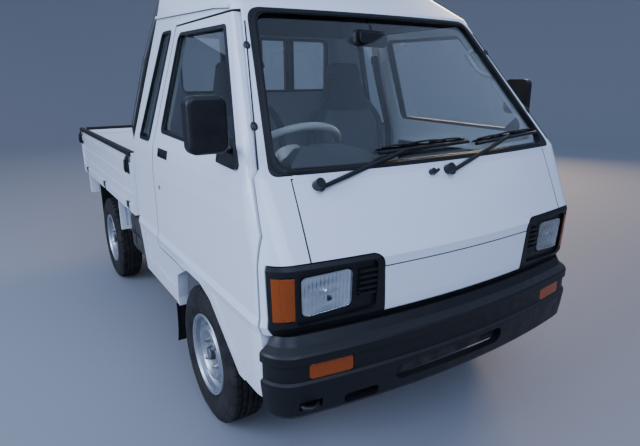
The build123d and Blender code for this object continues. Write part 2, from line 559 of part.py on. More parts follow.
# Wheels
def wheel(outboard):
    """A tyre and its steel rim about the X axis, with the open dish facing +X or -X."""
    half = TYRE_WIDTH / 2
    tread = TYRE_RADIUS
    wall_foot = (RIM_RADIUS, half - 12)
    wall_top = (tread - 24, half - 7)
    shoulder = (tread, half - 26)
    outline = [
        ThreePointArc(wall_foot, (RIM_RADIUS + 46, half), wall_top),
        ThreePointArc(wall_top, (tread - 8, half - 13), shoulder),
        Line(shoulder, (shoulder[0], -shoulder[1])),
        ThreePointArc((shoulder[0], -shoulder[1]), (tread - 8, -half + 13), (wall_top[0], -wall_top[1])),
        ThreePointArc((wall_top[0], -wall_top[1]), (RIM_RADIUS + 46, -half), (wall_foot[0], -wall_foot[1])),
        Line((wall_foot[0], -wall_foot[1]), wall_foot),
    ]
    tyre = revolve(make_face(Wire(outline)), Axis.Y)
    flange = RIM_RADIUS - 1
    well = RIM_RADIUS - 26
    barrel_section = [
        (flange, half - 12), (flange - 3, half - 7), (flange - 9, half - 8), (flange - 14, half - 16),
        (flange - 15, half - 34),
        (well, half - 46), (well, -half + 44), (flange - 14, -half + 34), (flange - 12, -half + 14), (flange - 6, -half + 9),
        (flange, -half + 12), (flange - 7, -half + 18), (flange - 9, -half + 36), (well + 5, -half + 48),
        (well + 5, half - 50), (flange - 10, half - 36), (flange - 8, half - 18),
    ]
    ring = DISC_RING_RADIUS
    disc_section = [
        (well + 1, half - 52), (well + 1, half - 46), (well - 8, half - 42), (ring + 9, half - 27), (ring + 3, half - 20),
        (ring - 5, half - 20), (ring - 13, half - 29), (ring - 27, half - 38), (HUB_BORE + 16, half - 36),
        (HUB_BORE + 8, half - 32), (HUB_BORE, half - 32), (HUB_BORE, half - 44), (ring - 27, half - 44),
        (ring - 10, half - 35), (ring + 1, half - 27), (well - 10, half - 49),
    ]
    rim = revolve(make_face(Polyline(*barrel_section, close=True)), Axis.Y) + revolve(
        make_face(Polyline(*disc_section, close=True)), Axis.Y)
    vent_radius = (ring + well) / 2 - 1
    vent_half_turn = 9
    vent_path = [Vector(vent_radius * cos(radians(a)), 0, vent_radius * sin(radians(a)))
                 for a in (-vent_half_turn, 0, vent_half_turn)]
    vent = joined([bar(spot + Vector(0, half - 60, 0), spot + Vector(0, half - 15, 0), 6.5) for spot in vent_path])
    rim = rim - joined([Rot(0, a, 0) * vent for a in range(0, 360, 360 // VENT_COUNT)])
    nut_circle = joined([Rot(0, a, 0) * (Pos(NUT_CIRCLE_RADIUS, half - 29, 0) * Rot(90, 0, 0) * extrude(
        RegularPolygon(9.5, 6), 9, both=True)) for a in range(45, 360, 90)])
    rim = rim + nut_circle
    turn = Rot(0, 0, -90 * outboard)
    return turn * tyre, turn * rim


WHEEL_X = TRACK / 2
tyre_right_shape, rim_right_shape = wheel(1)
tyre_left_shape, rim_left_shape = wheel(-1)


# Front knuckles with their struts
kingpin_foot = Vector(KINGPIN_FOOT_X, FRONT_AXLE_Y, KINGPIN_FOOT_Z)
kingpin_run = Vector(-sin(radians(KINGPIN_TILT)), 0, cos(radians(KINGPIN_TILT)))
HUB_FACE_X = WHEEL_X + TYRE_WIDTH / 2 - 44
strut_length = (STRUT_TOP_Z - KINGPIN_FOOT_Z) / cos(radians(KINGPIN_TILT))
knuckle = joined([
    bar((KINGPIN_FOOT_X - 45, FRONT_AXLE_Y, TYRE_RADIUS), (HUB_FACE_X - 2, FRONT_AXLE_Y, TYRE_RADIUS), HUB_BORE + 8),
    bar((HUB_FACE_X - 4, FRONT_AXLE_Y, TYRE_RADIUS), (HUB_FACE_X + 26, FRONT_AXLE_Y, TYRE_RADIUS), HUB_BORE - 2),
    bar((KINGPIN_FOOT_X + 6, FRONT_AXLE_Y, TYRE_RADIUS), (HUB_FACE_X - 6, FRONT_AXLE_Y, TYRE_RADIUS), DRUM_RADIUS),
    bar(kingpin_foot, kingpin_foot + kingpin_run * (strut_length - 4), 20),
    bar(kingpin_foot + kingpin_run * 400, kingpin_foot + kingpin_run * (strut_length - 4), 44),
    block((KINGPIN_FOOT_X - 60, FRONT_AXLE_Y - 24, KINGPIN_FOOT_Z), (KINGPIN_FOOT_X - 6, FRONT_AXLE_Y + 24, 340)),
    block((KINGPIN_FOOT_X - 60, FRONT_AXLE_Y, 200), (KINGPIN_FOOT_X - 30, FRONT_AXLE_Y + 130, 218)),
])
TIE_BALL = (KINGPIN_FOOT_X - 45, FRONT_AXLE_Y + 115, 222)
TIE_ROD_INNER_X = 288.0
tie_rod = bar((TIE_ROD_INNER_X, TIE_BALL[1], TIE_BALL[2] + 14), (TIE_BALL[0] + 14, TIE_BALL[1], TIE_BALL[2] + 14), 8)

front_crossmember = joined([
    block((-RAIL_X - RAIL_WIDTH, FRONT_AXLE_Y - 40, 240), (RAIL_X + RAIL_WIDTH, FRONT_AXLE_Y + 40, RAIL_LOW_Z)),
] + [bar((side * 300, FRONT_AXLE_Y, 200), (side * (KINGPIN_FOOT_X - 4), FRONT_AXLE_Y, KINGPIN_FOOT_Z - 30), 12)
     for side in (-1, 1)]
  + [block((side * 290 - 30, FRONT_AXLE_Y - 40, 180), (side * 290 + 30, FRONT_AXLE_Y + 40, 245)) for side in (-1, 1)])
steering_rack = joined([
    bar((-160, TIE_BALL[1], TIE_BALL[2] + 14), (160, TIE_BALL[1], TIE_BALL[2] + 14), 24),
    block((-150, FRONT_AXLE_Y + 40, 242), (150, TIE_BALL[1], 262)),
])
BOOT_END_X = 226.0
boot = joined([bar((x, TIE_BALL[1], TIE_BALL[2] + 14), (x + 9, TIE_BALL[1], TIE_BALL[2] + 14), radius)
               for x, radius in zip(range(152, int(BOOT_END_X) - 8, 8), (26, 20, 25, 19, 24, 18, 22, 16, 19))])
steering_rack = joined([steering_rack, boot, mirrored(boot)])

# Frame
rail_line = [
    (NOSE_Y + 84, RAIL_LOW_Z + 55), (NOSE_Y + 330, RAIL_LOW_Z), (FRONT_AXLE_Y + 250, RAIL_LOW_Z),
    (FRONT_AXLE_Y + 480, RAIL_HIGH_Z),
    (TAIL_Y - 40, RAIL_HIGH_Z), (TAIL_Y - 40, RAIL_HIGH_Z + RAIL_HEIGHT),
    (FRONT_AXLE_Y + 430, RAIL_HIGH_Z + RAIL_HEIGHT), (FRONT_AXLE_Y + 200, RAIL_LOW_Z + RAIL_HEIGHT),
    (NOSE_Y + 84, RAIL_LOW_Z + RAIL_HEIGHT),
]
rail = side_plate(rail_line, RAIL_X, RAIL_X + RAIL_WIDTH)
cross_bars = [block((-RAIL_X - 5, y, z), (RAIL_X + 5, y + 50, z + 60)) for y, z in (
    (FRONT_AXLE_Y + 520, RAIL_HIGH_Z + 10), (REAR_AXLE_Y - 420, RAIL_HIGH_Z + 10),
    (REAR_AXLE_Y + 420, RAIL_HIGH_Z + 10), (TAIL_Y - 90, RAIL_HIGH_Z + 10))]
front_bar = block((-RAIL_X - 5, NOSE_Y + 90, RAIL_LOW_Z + 48), (RAIL_X + 5, NOSE_Y + 140, RAIL_LOW_Z + RAIL_HEIGHT))
cab_mounts = [block((-580, y, FLOOR_HIGH_Z - 60), (580, y + 40, FLOOR_HIGH_Z)) for y in (FRONT_AXLE_Y + 520,)]
chassis_frame = joined([rail, mirrored(rail), front_bar] + cross_bars + cab_mounts)

engine_block = block((-170, FRONT_AXLE_Y + 75, 300), (200, FRONT_AXLE_Y + 480, 600)) + block(
    (-90, FRONT_AXLE_Y + 479, 320), (90, FRONT_AXLE_Y + 800, 480))
propeller_shaft = bar((0, FRONT_AXLE_Y + 808, 400), (0, REAR_AXLE_Y - 118, 300), 26)

# Rear axle
SPRING_X = 400.0
SPRING_SEAT_Z = TYRE_RADIUS + 40.0
AXLE_TUBE_RADIUS = 34.0
BANJO_RADIUS = 112.0
drum_inner_x = HUB_FACE_X - 70
axle_half = [
    (0, 0), (HUB_FACE_X + 26, 0), (HUB_FACE_X + 26, HUB_BORE - 4), (HUB_FACE_X + 22, HUB_BORE - 2),
    (HUB_FACE_X - 6, HUB_BORE - 2), (HUB_FACE_X - 6, DRUM_RADIUS - 14), (HUB_FACE_X - 14, DRUM_RADIUS - 4),
    (HUB_FACE_X - 58, DRUM_RADIUS - 4), (HUB_FACE_X - 60, DRUM_RADIUS), (drum_inner_x, DRUM_RADIUS),
    (drum_inner_x, AXLE_TUBE_RADIUS + 20), (drum_inner_x - 8, AXLE_TUBE_RADIUS), (190, AXLE_TUBE_RADIUS),
    (122, AXLE_TUBE_RADIUS + 18), (84, BANJO_RADIUS - 22), (58, BANJO_RADIUS - 5), (30, BANJO_RADIUS), (0, BANJO_RADIUS),
]
axle_body = revolve(make_face(Plane(origin=(0, REAR_AXLE_Y, TYRE_RADIUS), x_dir=(1, 0, 0), z_dir=(0, -1, 0)) * Polyline(
    *axle_half, close=True)), Axis((0, REAR_AXLE_Y, TYRE_RADIUS), (1, 0, 0)))
pinion_run = Vector(0, -1, 0.112)
pinion_foot = Vector(0, REAR_AXLE_Y - 60, TYRE_RADIUS + 18)
rear_axle = joined([
    axle_body, mirrored(axle_body),
    bar(pinion_foot, pinion_foot + pinion_run * 56, 56),
    bar((0, REAR_AXLE_Y + 40, TYRE_RADIUS), (0, REAR_AXLE_Y + BANJO_RADIUS - 2, TYRE_RADIUS), 70),
    block((-SPRING_X - 30, REAR_AXLE_Y - 40, TYRE_RADIUS + 20), (-SPRING_X + 30, REAR_AXLE_Y + 40, SPRING_SEAT_Z)),
    block((SPRING_X - 30, REAR_AXLE_Y - 40, TYRE_RADIUS + 20), (SPRING_X + 30, REAR_AXLE_Y + 40, SPRING_SEAT_Z)),
])
LEAF_WIDTH = 55.0
LEAF_THICKNESS = 7.0
LEAF_COUNT = 4
SPRING_REACH = 430.0
SPRING_CAMBER = 68.0
leaf_bow = (SPRING_REACH ** 2 + SPRING_CAMBER ** 2) / (2 * SPRING_CAMBER)


def leaf_from(reach, low_z):
    """One leaf on the +X side: a slice of a ring whose lowest point is over the axle."""
    centre = Pos(0, REAR_AXLE_Y, low_z + leaf_bow) * Rot(0, 90, 0)
    ring_slice = centre * Cylinder(leaf_bow, LEAF_WIDTH) - centre * Cylinder(leaf_bow - LEAF_THICKNESS, LEAF_WIDTH + 2)
    window = block((-100, REAR_AXLE_Y - reach, low_z - 5), (100, REAR_AXLE_Y + reach, low_z + 200))
    return Pos(SPRING_X, 0, 0) * (ring_slice & window)


leaves = [leaf_from(SPRING_REACH - 95 * (LEAF_COUNT - 1 - i), SPRING_SEAT_Z + i * (LEAF_THICKNESS - 0.1))
          for i in range(LEAF_COUNT)]
eye_z = SPRING_SEAT_Z + LEAF_COUNT * LEAF_THICKNESS + SPRING_CAMBER - 8
EYE_RADIUS = 17.0
front_eye = (SPRING_X, REAR_AXLE_Y - SPRING_REACH + 4, eye_z)
rear_eye = (SPRING_X, REAR_AXLE_Y + SPRING_REACH - 4, eye_z)
spring_eyes = [bar((SPRING_X - LEAF_WIDTH / 2, y, z), (SPRING_X + LEAF_WIDTH / 2, y, z), EYE_RADIUS)
               for _, y, z in (front_eye, rear_eye)]
hanger_outline = [(front_eye[1] - 24, eye_z - 20), (front_eye[1] + 24, eye_z - 20), (front_eye[1] + 46, RAIL_HIGH_Z + 60),
                  (front_eye[1] - 46, RAIL_HIGH_Z + 60)]
hanger = side_plate(hanger_outline, SPRING_X - LEAF_WIDTH / 2 - 8, SPRING_X + LEAF_WIDTH / 2 + 8) - side_plate(
    hanger_outline, SPRING_X - LEAF_WIDTH / 2 - 1, SPRING_X + LEAF_WIDTH / 2 + 1) + block(
    (RAIL_X + RAIL_WIDTH, front_eye[1] - 36, RAIL_HIGH_Z), (SPRING_X + LEAF_WIDTH / 2 + 8, front_eye[1] + 36, RAIL_HIGH_Z + 60))
hanger_pins = [bar((SPRING_X - LEAF_WIDTH / 2 - 8, y, z), (SPRING_X + LEAF_WIDTH / 2 + 8, y, z), 8)
               for _, y, z in (front_eye, rear_eye)]
shackle_top = (rear_eye[1] + 14, RAIL_HIGH_Z + 6)
shackles = [side_plate([(rear_eye[1] - 16, eye_z - 18), (rear_eye[1] + 16, eye_z - 18), (shackle_top[0] + 16, shackle_top[1] + 20),
                        (shackle_top[0] - 16, shackle_top[1] + 20)], x, x + 7)
            for x in (SPRING_X - LEAF_WIDTH / 2 - 8, SPRING_X + LEAF_WIDTH / 2 + 1)]
shackle_mount = block((RAIL_X + RAIL_WIDTH, shackle_top[0] - 22, RAIL_HIGH_Z), (SPRING_X + LEAF_WIDTH / 2 + 8,
                      shackle_top[0] + 22, RAIL_HIGH_Z + 50))
clamp_top_z = SPRING_SEAT_Z + LEAF_COUNT * LEAF_THICKNESS
clamp_bolts = [bar((SPRING_X + side * (LEAF_WIDTH / 2 + 3), REAR_AXLE_Y + y, SPRING_SEAT_Z),
                   (SPRING_X + side * (LEAF_WIDTH / 2 + 3), REAR_AXLE_Y + y, clamp_top_z + 14), 5)
               for side in (-1, 1) for y in (-28, 28)]
clamp_plate = block((SPRING_X - LEAF_WIDTH / 2 - 12, REAR_AXLE_Y - 38, clamp_top_z - 1),
                    (SPRING_X + LEAF_WIDTH / 2 + 12, REAR_AXLE_Y + 38, clamp_top_z + 7))
leaf = joined(leaves + spring_eyes + [hanger, shackle_mount, clamp_plate] + hanger_pins + shackles + clamp_bolts)
leaf_springs = leaf + mirrored(leaf)

TANK_LOW = (-640, FRONT_AXLE_Y + 900, 340)
TANK_HIGH = (-380, FRONT_AXLE_Y + 1305, 560)
tank_body = block(TANK_LOW, TANK_HIGH)
tank_body = fillet(tank_body.edges().filter_by(Axis.Y), 34)
tank_body = fillet(tank_body.faces().sort_by(Axis.Y)[0].edges() + tank_body.faces().sort_by(Axis.Y)[-1].edges(), 12)
tank_strap = side_plate([(0, TANK_LOW[2] - 3), (30, TANK_LOW[2] - 3), (30, TANK_HIGH[2] + 3), (0, TANK_HIGH[2] + 3)],
                        TANK_LOW[0] - 3, TANK_HIGH[0] + 3)
strap_core = fillet(block((TANK_LOW[0] - 3, -1, TANK_LOW[2] - 3), (TANK_HIGH[0] + 3, 31, TANK_HIGH[2] + 3)).edges().filter_by(
    Axis.Y), 36)
tank_straps = [Pos(0, y, 0) * (tank_strap & strap_core) for y in (TANK_LOW[1] + 80, TANK_HIGH[1] - 110)]
tank_seam = fillet(block((TANK_LOW[0] - 9, TANK_LOW[1] - 9, 452), (TANK_HIGH[0] + 9, TANK_HIGH[1] + 9, 456)).edges().filter_by(
    Axis.Z), 20)
fuel_tank = joined([tank_body, tank_seam] + tank_straps)

PIPE_X = 240.0
PIPE_Z = 330.0
PIPE_RADIUS = 19.0
PIPE_BEND = 45.0
pipe_start = (PIPE_X, FRONT_AXLE_Y + 620, PIPE_Z)
pipe_path = FilletPolyline(
    pipe_start, (PIPE_X, REAR_AXLE_Y - 230, PIPE_Z), (PIPE_X, REAR_AXLE_Y - 150, PIPE_Z + 118),
    (PIPE_X, REAR_AXLE_Y + 150, PIPE_Z + 118), (PIPE_X, REAR_AXLE_Y + 250, PIPE_Z + 10),
    (PIPE_X, REAR_AXLE_Y + 400, PIPE_Z - 6), radius=PIPE_BEND)
exhaust_pipe = sweep(Plane(origin=pipe_start, z_dir=(0, 1, 0)) * Circle(PIPE_RADIUS), path=pipe_path)
MUFFLER_FRONT_Y = FRONT_AXLE_Y + 1000.0
MUFFLER_LENGTH = 340.0
muffler = extrude(Plane(origin=(PIPE_X, MUFFLER_FRONT_Y, PIPE_Z), x_dir=(1, 0, 0), z_dir=(0, 1, 0)) * Ellipse(72, 52),
                  MUFFLER_LENGTH)
muffler = chamfer(muffler.edges().group_by(Axis.Y)[0] + muffler.edges().group_by(Axis.Y)[-1], 9)
exhaust = joined([exhaust_pipe, muffler])


# Bumper: one section carried round the bowed front and the corners
BUMPER_CORNER = 104.0
BUMPER_END_Y = DOOR_FRONT_Y - 6.0
# Section of the bumper: depth behind its face, height
BUMPER_SECTION = [
    (58.0, 598.0), (40.0, 598.0), (26.0, 571.0), (4.0, 556.0), (0.0, 549.0), (0.0, 524.0), (8.0, 518.0), (8.0, 468.0),
    (0.0, 462.0), (0.0, 451.0), (5.0, 404.0), (11.0, 358.0), (19.0, 346.0), (48.0, 346.0), (48.0, 362.0), (36.0, 376.0),
    (32.0, 450.0), (32.0, 546.0), (58.0, 584.0),
]


def bumper_round():
    """The bumper section turned about the bow's centre and about each corner's centre."""
    bow_radius = FRONT_BOW + 25.0
    bow_y = NOSE_Y + bow_radius
    corner_x = HALF_WIDTH - 1 - BUMPER_CORNER
    corner_y = bow_y - sqrt((bow_radius - BUMPER_CORNER) ** 2 - corner_x ** 2)
    lean = degrees(asin(corner_x / (bow_radius - BUMPER_CORNER)))
    section = Polyline(*[(NOSE_Y + depth, height) for depth, height in BUMPER_SECTION], close=True)
    face = make_face(Plane(origin=(0, 0, 0), x_dir=(0, 1, 0), z_dir=(1, 0, 0)) * section)
    bow_axis = Axis((0, bow_y, 0), (0, 0, 1))
    middle = revolve(face.rotate(bow_axis, -lean), bow_axis, 2 * lean)
    corner_section = Polyline(*[(depth - BUMPER_CORNER, height) for depth, height in BUMPER_SECTION], close=True)
    corner_face = make_face(Plane(origin=(0, 0, 0), x_dir=(0, 1, 0), z_dir=(1, 0, 0)) * corner_section)
    corner = revolve(corner_face.rotate(Axis.Z, lean), Axis.Z, 90 - lean)
    corner = Pos(corner_x, corner_y, 0) * corner
    return middle + corner + mirrored(corner)


front_bumper = bumper_round() - block((-760, BUMPER_END_Y, 0), (760, 0, 700))
bumper_stays = [block((side * 330 - 25, NOSE_Y + 38, RAIL_LOW_Z + 62), (side * 330 + 25, NOSE_Y + 84, RAIL_LOW_Z + 84))
                for side in (-1, 1)]
bumper_whole = bumper_round()
LAMP_SLOT = [(440, 469), (582, 469), (582, 521), (440, 521)]
bumper_lamp_space = front_plate(LAMP_SLOT, NOSE_Y - 10, NOSE_Y + 70, radius=7)
LONG_SLOT = [(-290, 387), (190, 387), (190, 447), (-290, 447)]
SHORT_SLOT = [(-470, 360), (-352, 360), (-352, 394), (-470, 394)]
bumper_slots = front_plate(LONG_SLOT, NOSE_Y - 10, NOSE_Y + 45, radius=26) + front_plate(
    SHORT_SLOT, NOSE_Y - 10, NOSE_Y + 60, radius=12)
TOW_HOOK_X = -578.0
tow_hook = Pos(TOW_HOOK_X, NOSE_Y + 66, 386) * Torus(26, 7) + block(
    (TOW_HOOK_X - 8, NOSE_Y + 86, 379), (TOW_HOOK_X + 8, NOSE_Y + 112, 393))
tow_pocket = block((TOW_HOOK_X - 36, NOSE_Y - 10, 374), (TOW_HOOK_X + 36, NOSE_Y + 78, 402))
front_bumper = (front_bumper - bumper_slots - tow_pocket) + tow_hook
front_bumper = joined([front_bumper] + bumper_stays)
front_bumper = front_bumper - bumper_lamp_space - mirrored(bumper_lamp_space)
bumper_lamp = bumper_whole & bumper_lamp_space

# Bed
BED_REAR_Y = TAIL_Y
BED_HALF = 662.0
bed_floor = joined([
    block((-BED_HALF, BED_FRONT_Y, DECK_Z - DECK_THICKNESS), (BED_HALF, BED_REAR_Y - GATE_THICKNESS - GATE_GAP, DECK_Z)),
    block((-BED_HALF, BED_FRONT_Y, DECK_Z), (BED_HALF, BED_FRONT_Y + 24, GATE_TOP_Z)),
] + [block((side * (BED_HALF - POST_WIDTH / 2) - POST_WIDTH / 2, BED_FRONT_Y, 560),
           (side * (BED_HALF - POST_WIDTH / 2) + POST_WIDTH / 2, BED_FRONT_Y + 40, GATE_TOP_Z)) for side in (-1, 1)]
  + [block((-BED_HALF + 20, y, RAIL_HIGH_Z + RAIL_HEIGHT), (BED_HALF - 20, y + 40, DECK_Z - DECK_THICKNESS))
     for y in (BED_FRONT_Y + 30, REAR_AXLE_Y - 520, REAR_AXLE_Y - 300, REAR_AXLE_Y + 320, TAIL_Y - 90)]
  + [block((side * 655 - 25, TAIL_Y - 100, 480), (side * 655 + 25, TAIL_Y - 45, DECK_Z - DECK_THICKNESS))
     for side in (-1, 1)])
chassis_frame = chassis_frame - bed_floor
DECK_RIB_PITCH = 88.0
deck_ribs = joined([block((x - 14, BED_FRONT_Y + 60, DECK_Z - 5), (x + 14, BED_REAR_Y - 90, DECK_Z + 1))
                    for x in [(i - 6.5) * DECK_RIB_PITCH for i in range(14)]])
head_panels = joined([block((x, BED_FRONT_Y + 18, DECK_Z + 40), (x + 370, BED_FRONT_Y + 25, GATE_TOP_Z - 45))
                      for x in (-595, -185, 225)])
HOOK_PITCH = 370.0
rope_hooks = []
for side in (-1, 1):
    for i in range(4):
        hook_y = BED_FRONT_Y + 190 + i * HOOK_PITCH
        hook_z = DECK_Z - DECK_THICKNESS
        rope_hooks.append(bar((side * 640, hook_y, hook_z + 2), (side * 640, hook_y, hook_z - 34), 5))
        rope_hooks.append(bar((side * 640, hook_y - 2, hook_z - 28), (side * 640, hook_y + 34, hook_z - 28), 4))
bed_floor = joined([bed_floor - deck_ribs - head_panels] + rope_hooks)
FENDER_Y = REAR_AXLE_Y - 325.0
FENDER_LOW_Z = 408.0
fender_plate = block((545, FENDER_Y, FENDER_LOW_Z), (BED_HALF, FENDER_Y + 20, DECK_Z - DECK_THICKNESS + 1))
fender_plate = fender_plate - joined([block((x, FENDER_Y - 1, FENDER_LOW_Z + 25), (x + 12, FENDER_Y + 5, 600))
                                      for x in (566, 592, 618)])
bed_floor = joined([bed_floor, fender_plate, mirrored(fender_plate)])


GATE_FOOT = 13.0
GATE_STEP = 48.0
HINGE_LENGTH = 60.0


def gate(length, hinge_places):
    """A gate lying along Y with its hinge line at the origin, standing up and facing +X."""
    height = GATE_TOP_Z - HINGE_Z
    panel = block((0, 0, -GATE_FOOT), (GATE_THICKNESS, length, height))
    panel = panel - block((GATE_THICKNESS - 8, -1, height - GATE_STEP), (GATE_THICKNESS + 1, length + 1, height + 1))
    panel = panel - block((GATE_THICKNESS - 6, 26, 30), (GATE_THICKNESS + 1, length - 26, height - GATE_STEP - 34))
    swage = block((GATE_THICKNESS - 7, 60, 0), (GATE_THICKNESS - 2, length - 60, 26))
    panel = panel + chamfer(swage.edges().filter_by(Axis.Y).group_by(Axis.X)[-1], 3).moved(Location((0, 0, 68))) + chamfer(
        swage.edges().filter_by(Axis.Y).group_by(Axis.X)[-1], 3).moved(Location((0, 0, 148)))
    panel = panel - block((-1, 30, 40), (6, length - 30, height - 40))
    axis_x = GATE_THICKNESS - HINGE_RADIUS
    for place in hinge_places:
        notch = block((-1, place - HINGE_LENGTH / 2, -GATE_FOOT - 1), (GATE_THICKNESS + 1, place + HINGE_LENGTH / 2, 9))
        leaf = block((axis_x - 2, place - HINGE_LENGTH / 2 + 2, 0), (axis_x + 2, place + HINGE_LENGTH / 2 - 2, 10))
        barrel = bar((axis_x, place - HINGE_LENGTH / 2 + 2, 0), (axis_x, place + HINGE_LENGTH / 2 - 2, 0), HINGE_RADIUS)
        panel = joined([panel - notch, leaf, barrel])
    return panel


GATE_LENGTH = TAIL_Y - BED_FRONT_Y - 10.0
side_gate = Pos(HALF_WIDTH - GATE_THICKNESS, BED_FRONT_Y + 8, HINGE_Z) * gate(
    GATE_LENGTH, [150, GATE_LENGTH / 2, GATE_LENGTH - 150])
TAIL_GATE_WIDTH = 2 * BED_HALF
tail_gate = Pos(TAIL_GATE_WIDTH / 2, BED_REAR_Y - GATE_THICKNESS, HINGE_Z) * Rot(0, 0, 90) * gate(
    TAIL_GATE_WIDTH, [200, TAIL_GATE_WIDTH - 200])
# Guard frame behind the cab: two legs that lean in with the cab, a top tube and thin rails
GUARD_Y = BED_FRONT_Y + 14.0
GUARD_RADIUS = 14.0
GUARD_LEG = [(646, GATE_TOP_Z - 4), (656, 1085), (570, 1400), (478, 1652)]


def guard_half(z):
    """The leg's distance from the middle at a height."""
    for low, high in zip(GUARD_LEG, GUARD_LEG[1:]):
        if low[1] <= z <= high[1]:
            return low[0] + (high[0] - low[0]) * (z - low[1]) / (high[1] - low[1])


guard_legs = [bar((side * low[0], GUARD_Y, low[1]), (side * high[0], GUARD_Y, high[1] + 3), GUARD_RADIUS)
              for side in (-1, 1) for low, high in zip(GUARD_LEG, GUARD_LEG[1:])]
guard_top_x, guard_top_z = GUARD_LEG[-1]
guard_rails = [bar((-guard_half(z), GUARD_Y, z), (guard_half(z), GUARD_Y, z), 9) for z in (1085, 1190, 1575)]
guard_frame = joined(guard_legs + guard_rails + [
    bar((-guard_top_x - 6, GUARD_Y, guard_top_z), (guard_top_x + 6, GUARD_Y, guard_top_z), GUARD_RADIUS)]) - bed_floor

# Tail lamps and mud flaps
tail_lamp = block((500, TAIL_Y - 49, 545), (655 - 26, TAIL_Y - 20, 625))
mud_flap = block((540, REAR_AXLE_Y + 300, 272), (BED_HALF, REAR_AXLE_Y + 306, DECK_Z - DECK_THICKNESS))


def pair(shape):
    """A piece and its twin on the other side as one node."""
    return Compound(children=list(shape.solids()) + list(mirrored(shape).solids()))


def together(*shapes):
    """Like pieces that don't touch as one node."""
    return Compound(children=[solid for shape in shapes for solid in shape.solids()])


nodes = {
    "chassis_frame": chassis_frame,
    "front_crossmember": front_crossmember,
    "steering_rack": steering_rack,
    "engine_block": engine_block,
    "propeller_shaft": propeller_shaft,
    "rear_axle": rear_axle,
    "leaf_springs": leaf_springs,
    "fuel_tank": fuel_tank,
    "exhaust": exhaust,
    "cab_floor": cab_floor,
    "cab_front": cab_front,
    "cab_rear": cab_rear,
    "cab_roof": cab_roof,
    "front_panels": together(front_lid, nose_panel),
    "lamp_bezels": bezel,
    "head_lamps": pair(head_lamp),
    "turn_lamps": together(corner_lamp, mirrored(corner_lamp), bumper_lamp, mirrored(bumper_lamp)),
    "front_bumper": front_bumper,
    "cab_glass": together(windshield, quarter_glass, mirrored(quarter_glass), rear_glass),
    "window_seals": together(windshield_seal, quarter_seal, mirrored(quarter_seal), rear_seal),
    "wipers": together(*wipers),
    "dashboard": dashboard,
    "seats": seats,
    "steering_column": steering_column,
    "steering_wheel": steering_wheel,
    "bed_floor": bed_floor,
    "guard_frame": guard_frame,
    "tail_gate": tail_gate,
    "tail_lamps": pair(tail_lamp),
    "mud_flaps": pair(mud_flap),
    "door_left": door,
    "door_right": mirrored(door),
    "door_glass_left": door_glass,
    "door_glass_right": mirrored(door_glass),
    "door_trim_left": door_trim_folded,
    "door_trim_right": mirrored(door_trim),
    "side_gate_left": side_gate,
    "side_gate_right": mirrored(side_gate),
    "knuckle_left": knuckle,
    "knuckle_right": mirrored(knuckle),
    "tie_rod_left": tie_rod,
    "tie_rod_right": mirrored(tie_rod),
}
for name, x, y in (("front_left", WHEEL_X, FRONT_AXLE_Y), ("front_right", -WHEEL_X, FRONT_AXLE_Y),
                   ("rear_left", WHEEL_X, REAR_AXLE_Y), ("rear_right", -WHEEL_X, REAR_AXLE_Y)):
    tyre, rim = (tyre_right_shape, rim_right_shape) if x > 0 else (tyre_left_shape, rim_left_shape)
    nodes["tyre_" + name] = Pos(x, y, TYRE_RADIUS) * tyre
    nodes["rim_" + name] = Pos(x, y, TYRE_RADIUS) * rim

os.makedirs("parts", exist_ok=True)
for name, shape in nodes.items():
    export_step(shape, "parts/" + name + ".step")
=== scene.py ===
# %% [markdown]
# # A small cab-over truck with a drop-sided bed
# The solids come from a CAD model in metres, with Z up and the front towards -Y. Blender is here for what the eye sees:
# paint, plastic, rubber, glass, and the small things on them. The first cell loads the model as a fixed frame: nothing
# in it is moved, and pieces are added to it.

# %% Load the frame
import json
import math

import bmesh
import bpy
from mathutils import Matrix, Vector


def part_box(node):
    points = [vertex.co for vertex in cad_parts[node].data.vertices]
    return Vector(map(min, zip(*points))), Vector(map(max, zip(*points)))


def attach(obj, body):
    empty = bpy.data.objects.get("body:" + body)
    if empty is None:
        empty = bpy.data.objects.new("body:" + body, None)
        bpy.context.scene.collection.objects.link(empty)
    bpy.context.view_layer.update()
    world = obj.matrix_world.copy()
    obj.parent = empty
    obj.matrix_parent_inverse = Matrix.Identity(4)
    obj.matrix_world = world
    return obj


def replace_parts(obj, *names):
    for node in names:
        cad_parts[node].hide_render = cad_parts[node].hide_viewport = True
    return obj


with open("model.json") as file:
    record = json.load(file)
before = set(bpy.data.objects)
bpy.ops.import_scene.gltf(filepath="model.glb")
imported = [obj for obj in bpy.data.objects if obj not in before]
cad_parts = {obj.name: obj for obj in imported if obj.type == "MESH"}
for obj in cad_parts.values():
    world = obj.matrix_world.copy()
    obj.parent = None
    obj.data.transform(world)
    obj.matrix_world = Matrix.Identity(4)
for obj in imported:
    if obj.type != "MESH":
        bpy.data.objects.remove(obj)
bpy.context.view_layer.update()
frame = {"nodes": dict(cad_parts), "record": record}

nodes = frame["nodes"]

# %% [markdown]
# ## The camera
# The picture was taken by someone standing at the driver's side of the front, with the camera at about shoulder height
# and tipped down a little. Its three directions are worked out from a turn (yaw), a tip (pitch) and a lean (roll),
# because a person can check those three numbers.

# %% Stand the camera
CAMERA_PLACE = Vector((-1.239, -2.6475, 1.302))
YAW, PITCH, ROLL = (math.radians(degrees) for degrees in (32.17, -15.45, -0.37))
LENS_MM = 28.69
SENSOR_MM = 36.0
LENS_SHIFT_Y = -0.005
NEAREST, FARTHEST = 0.05, 100


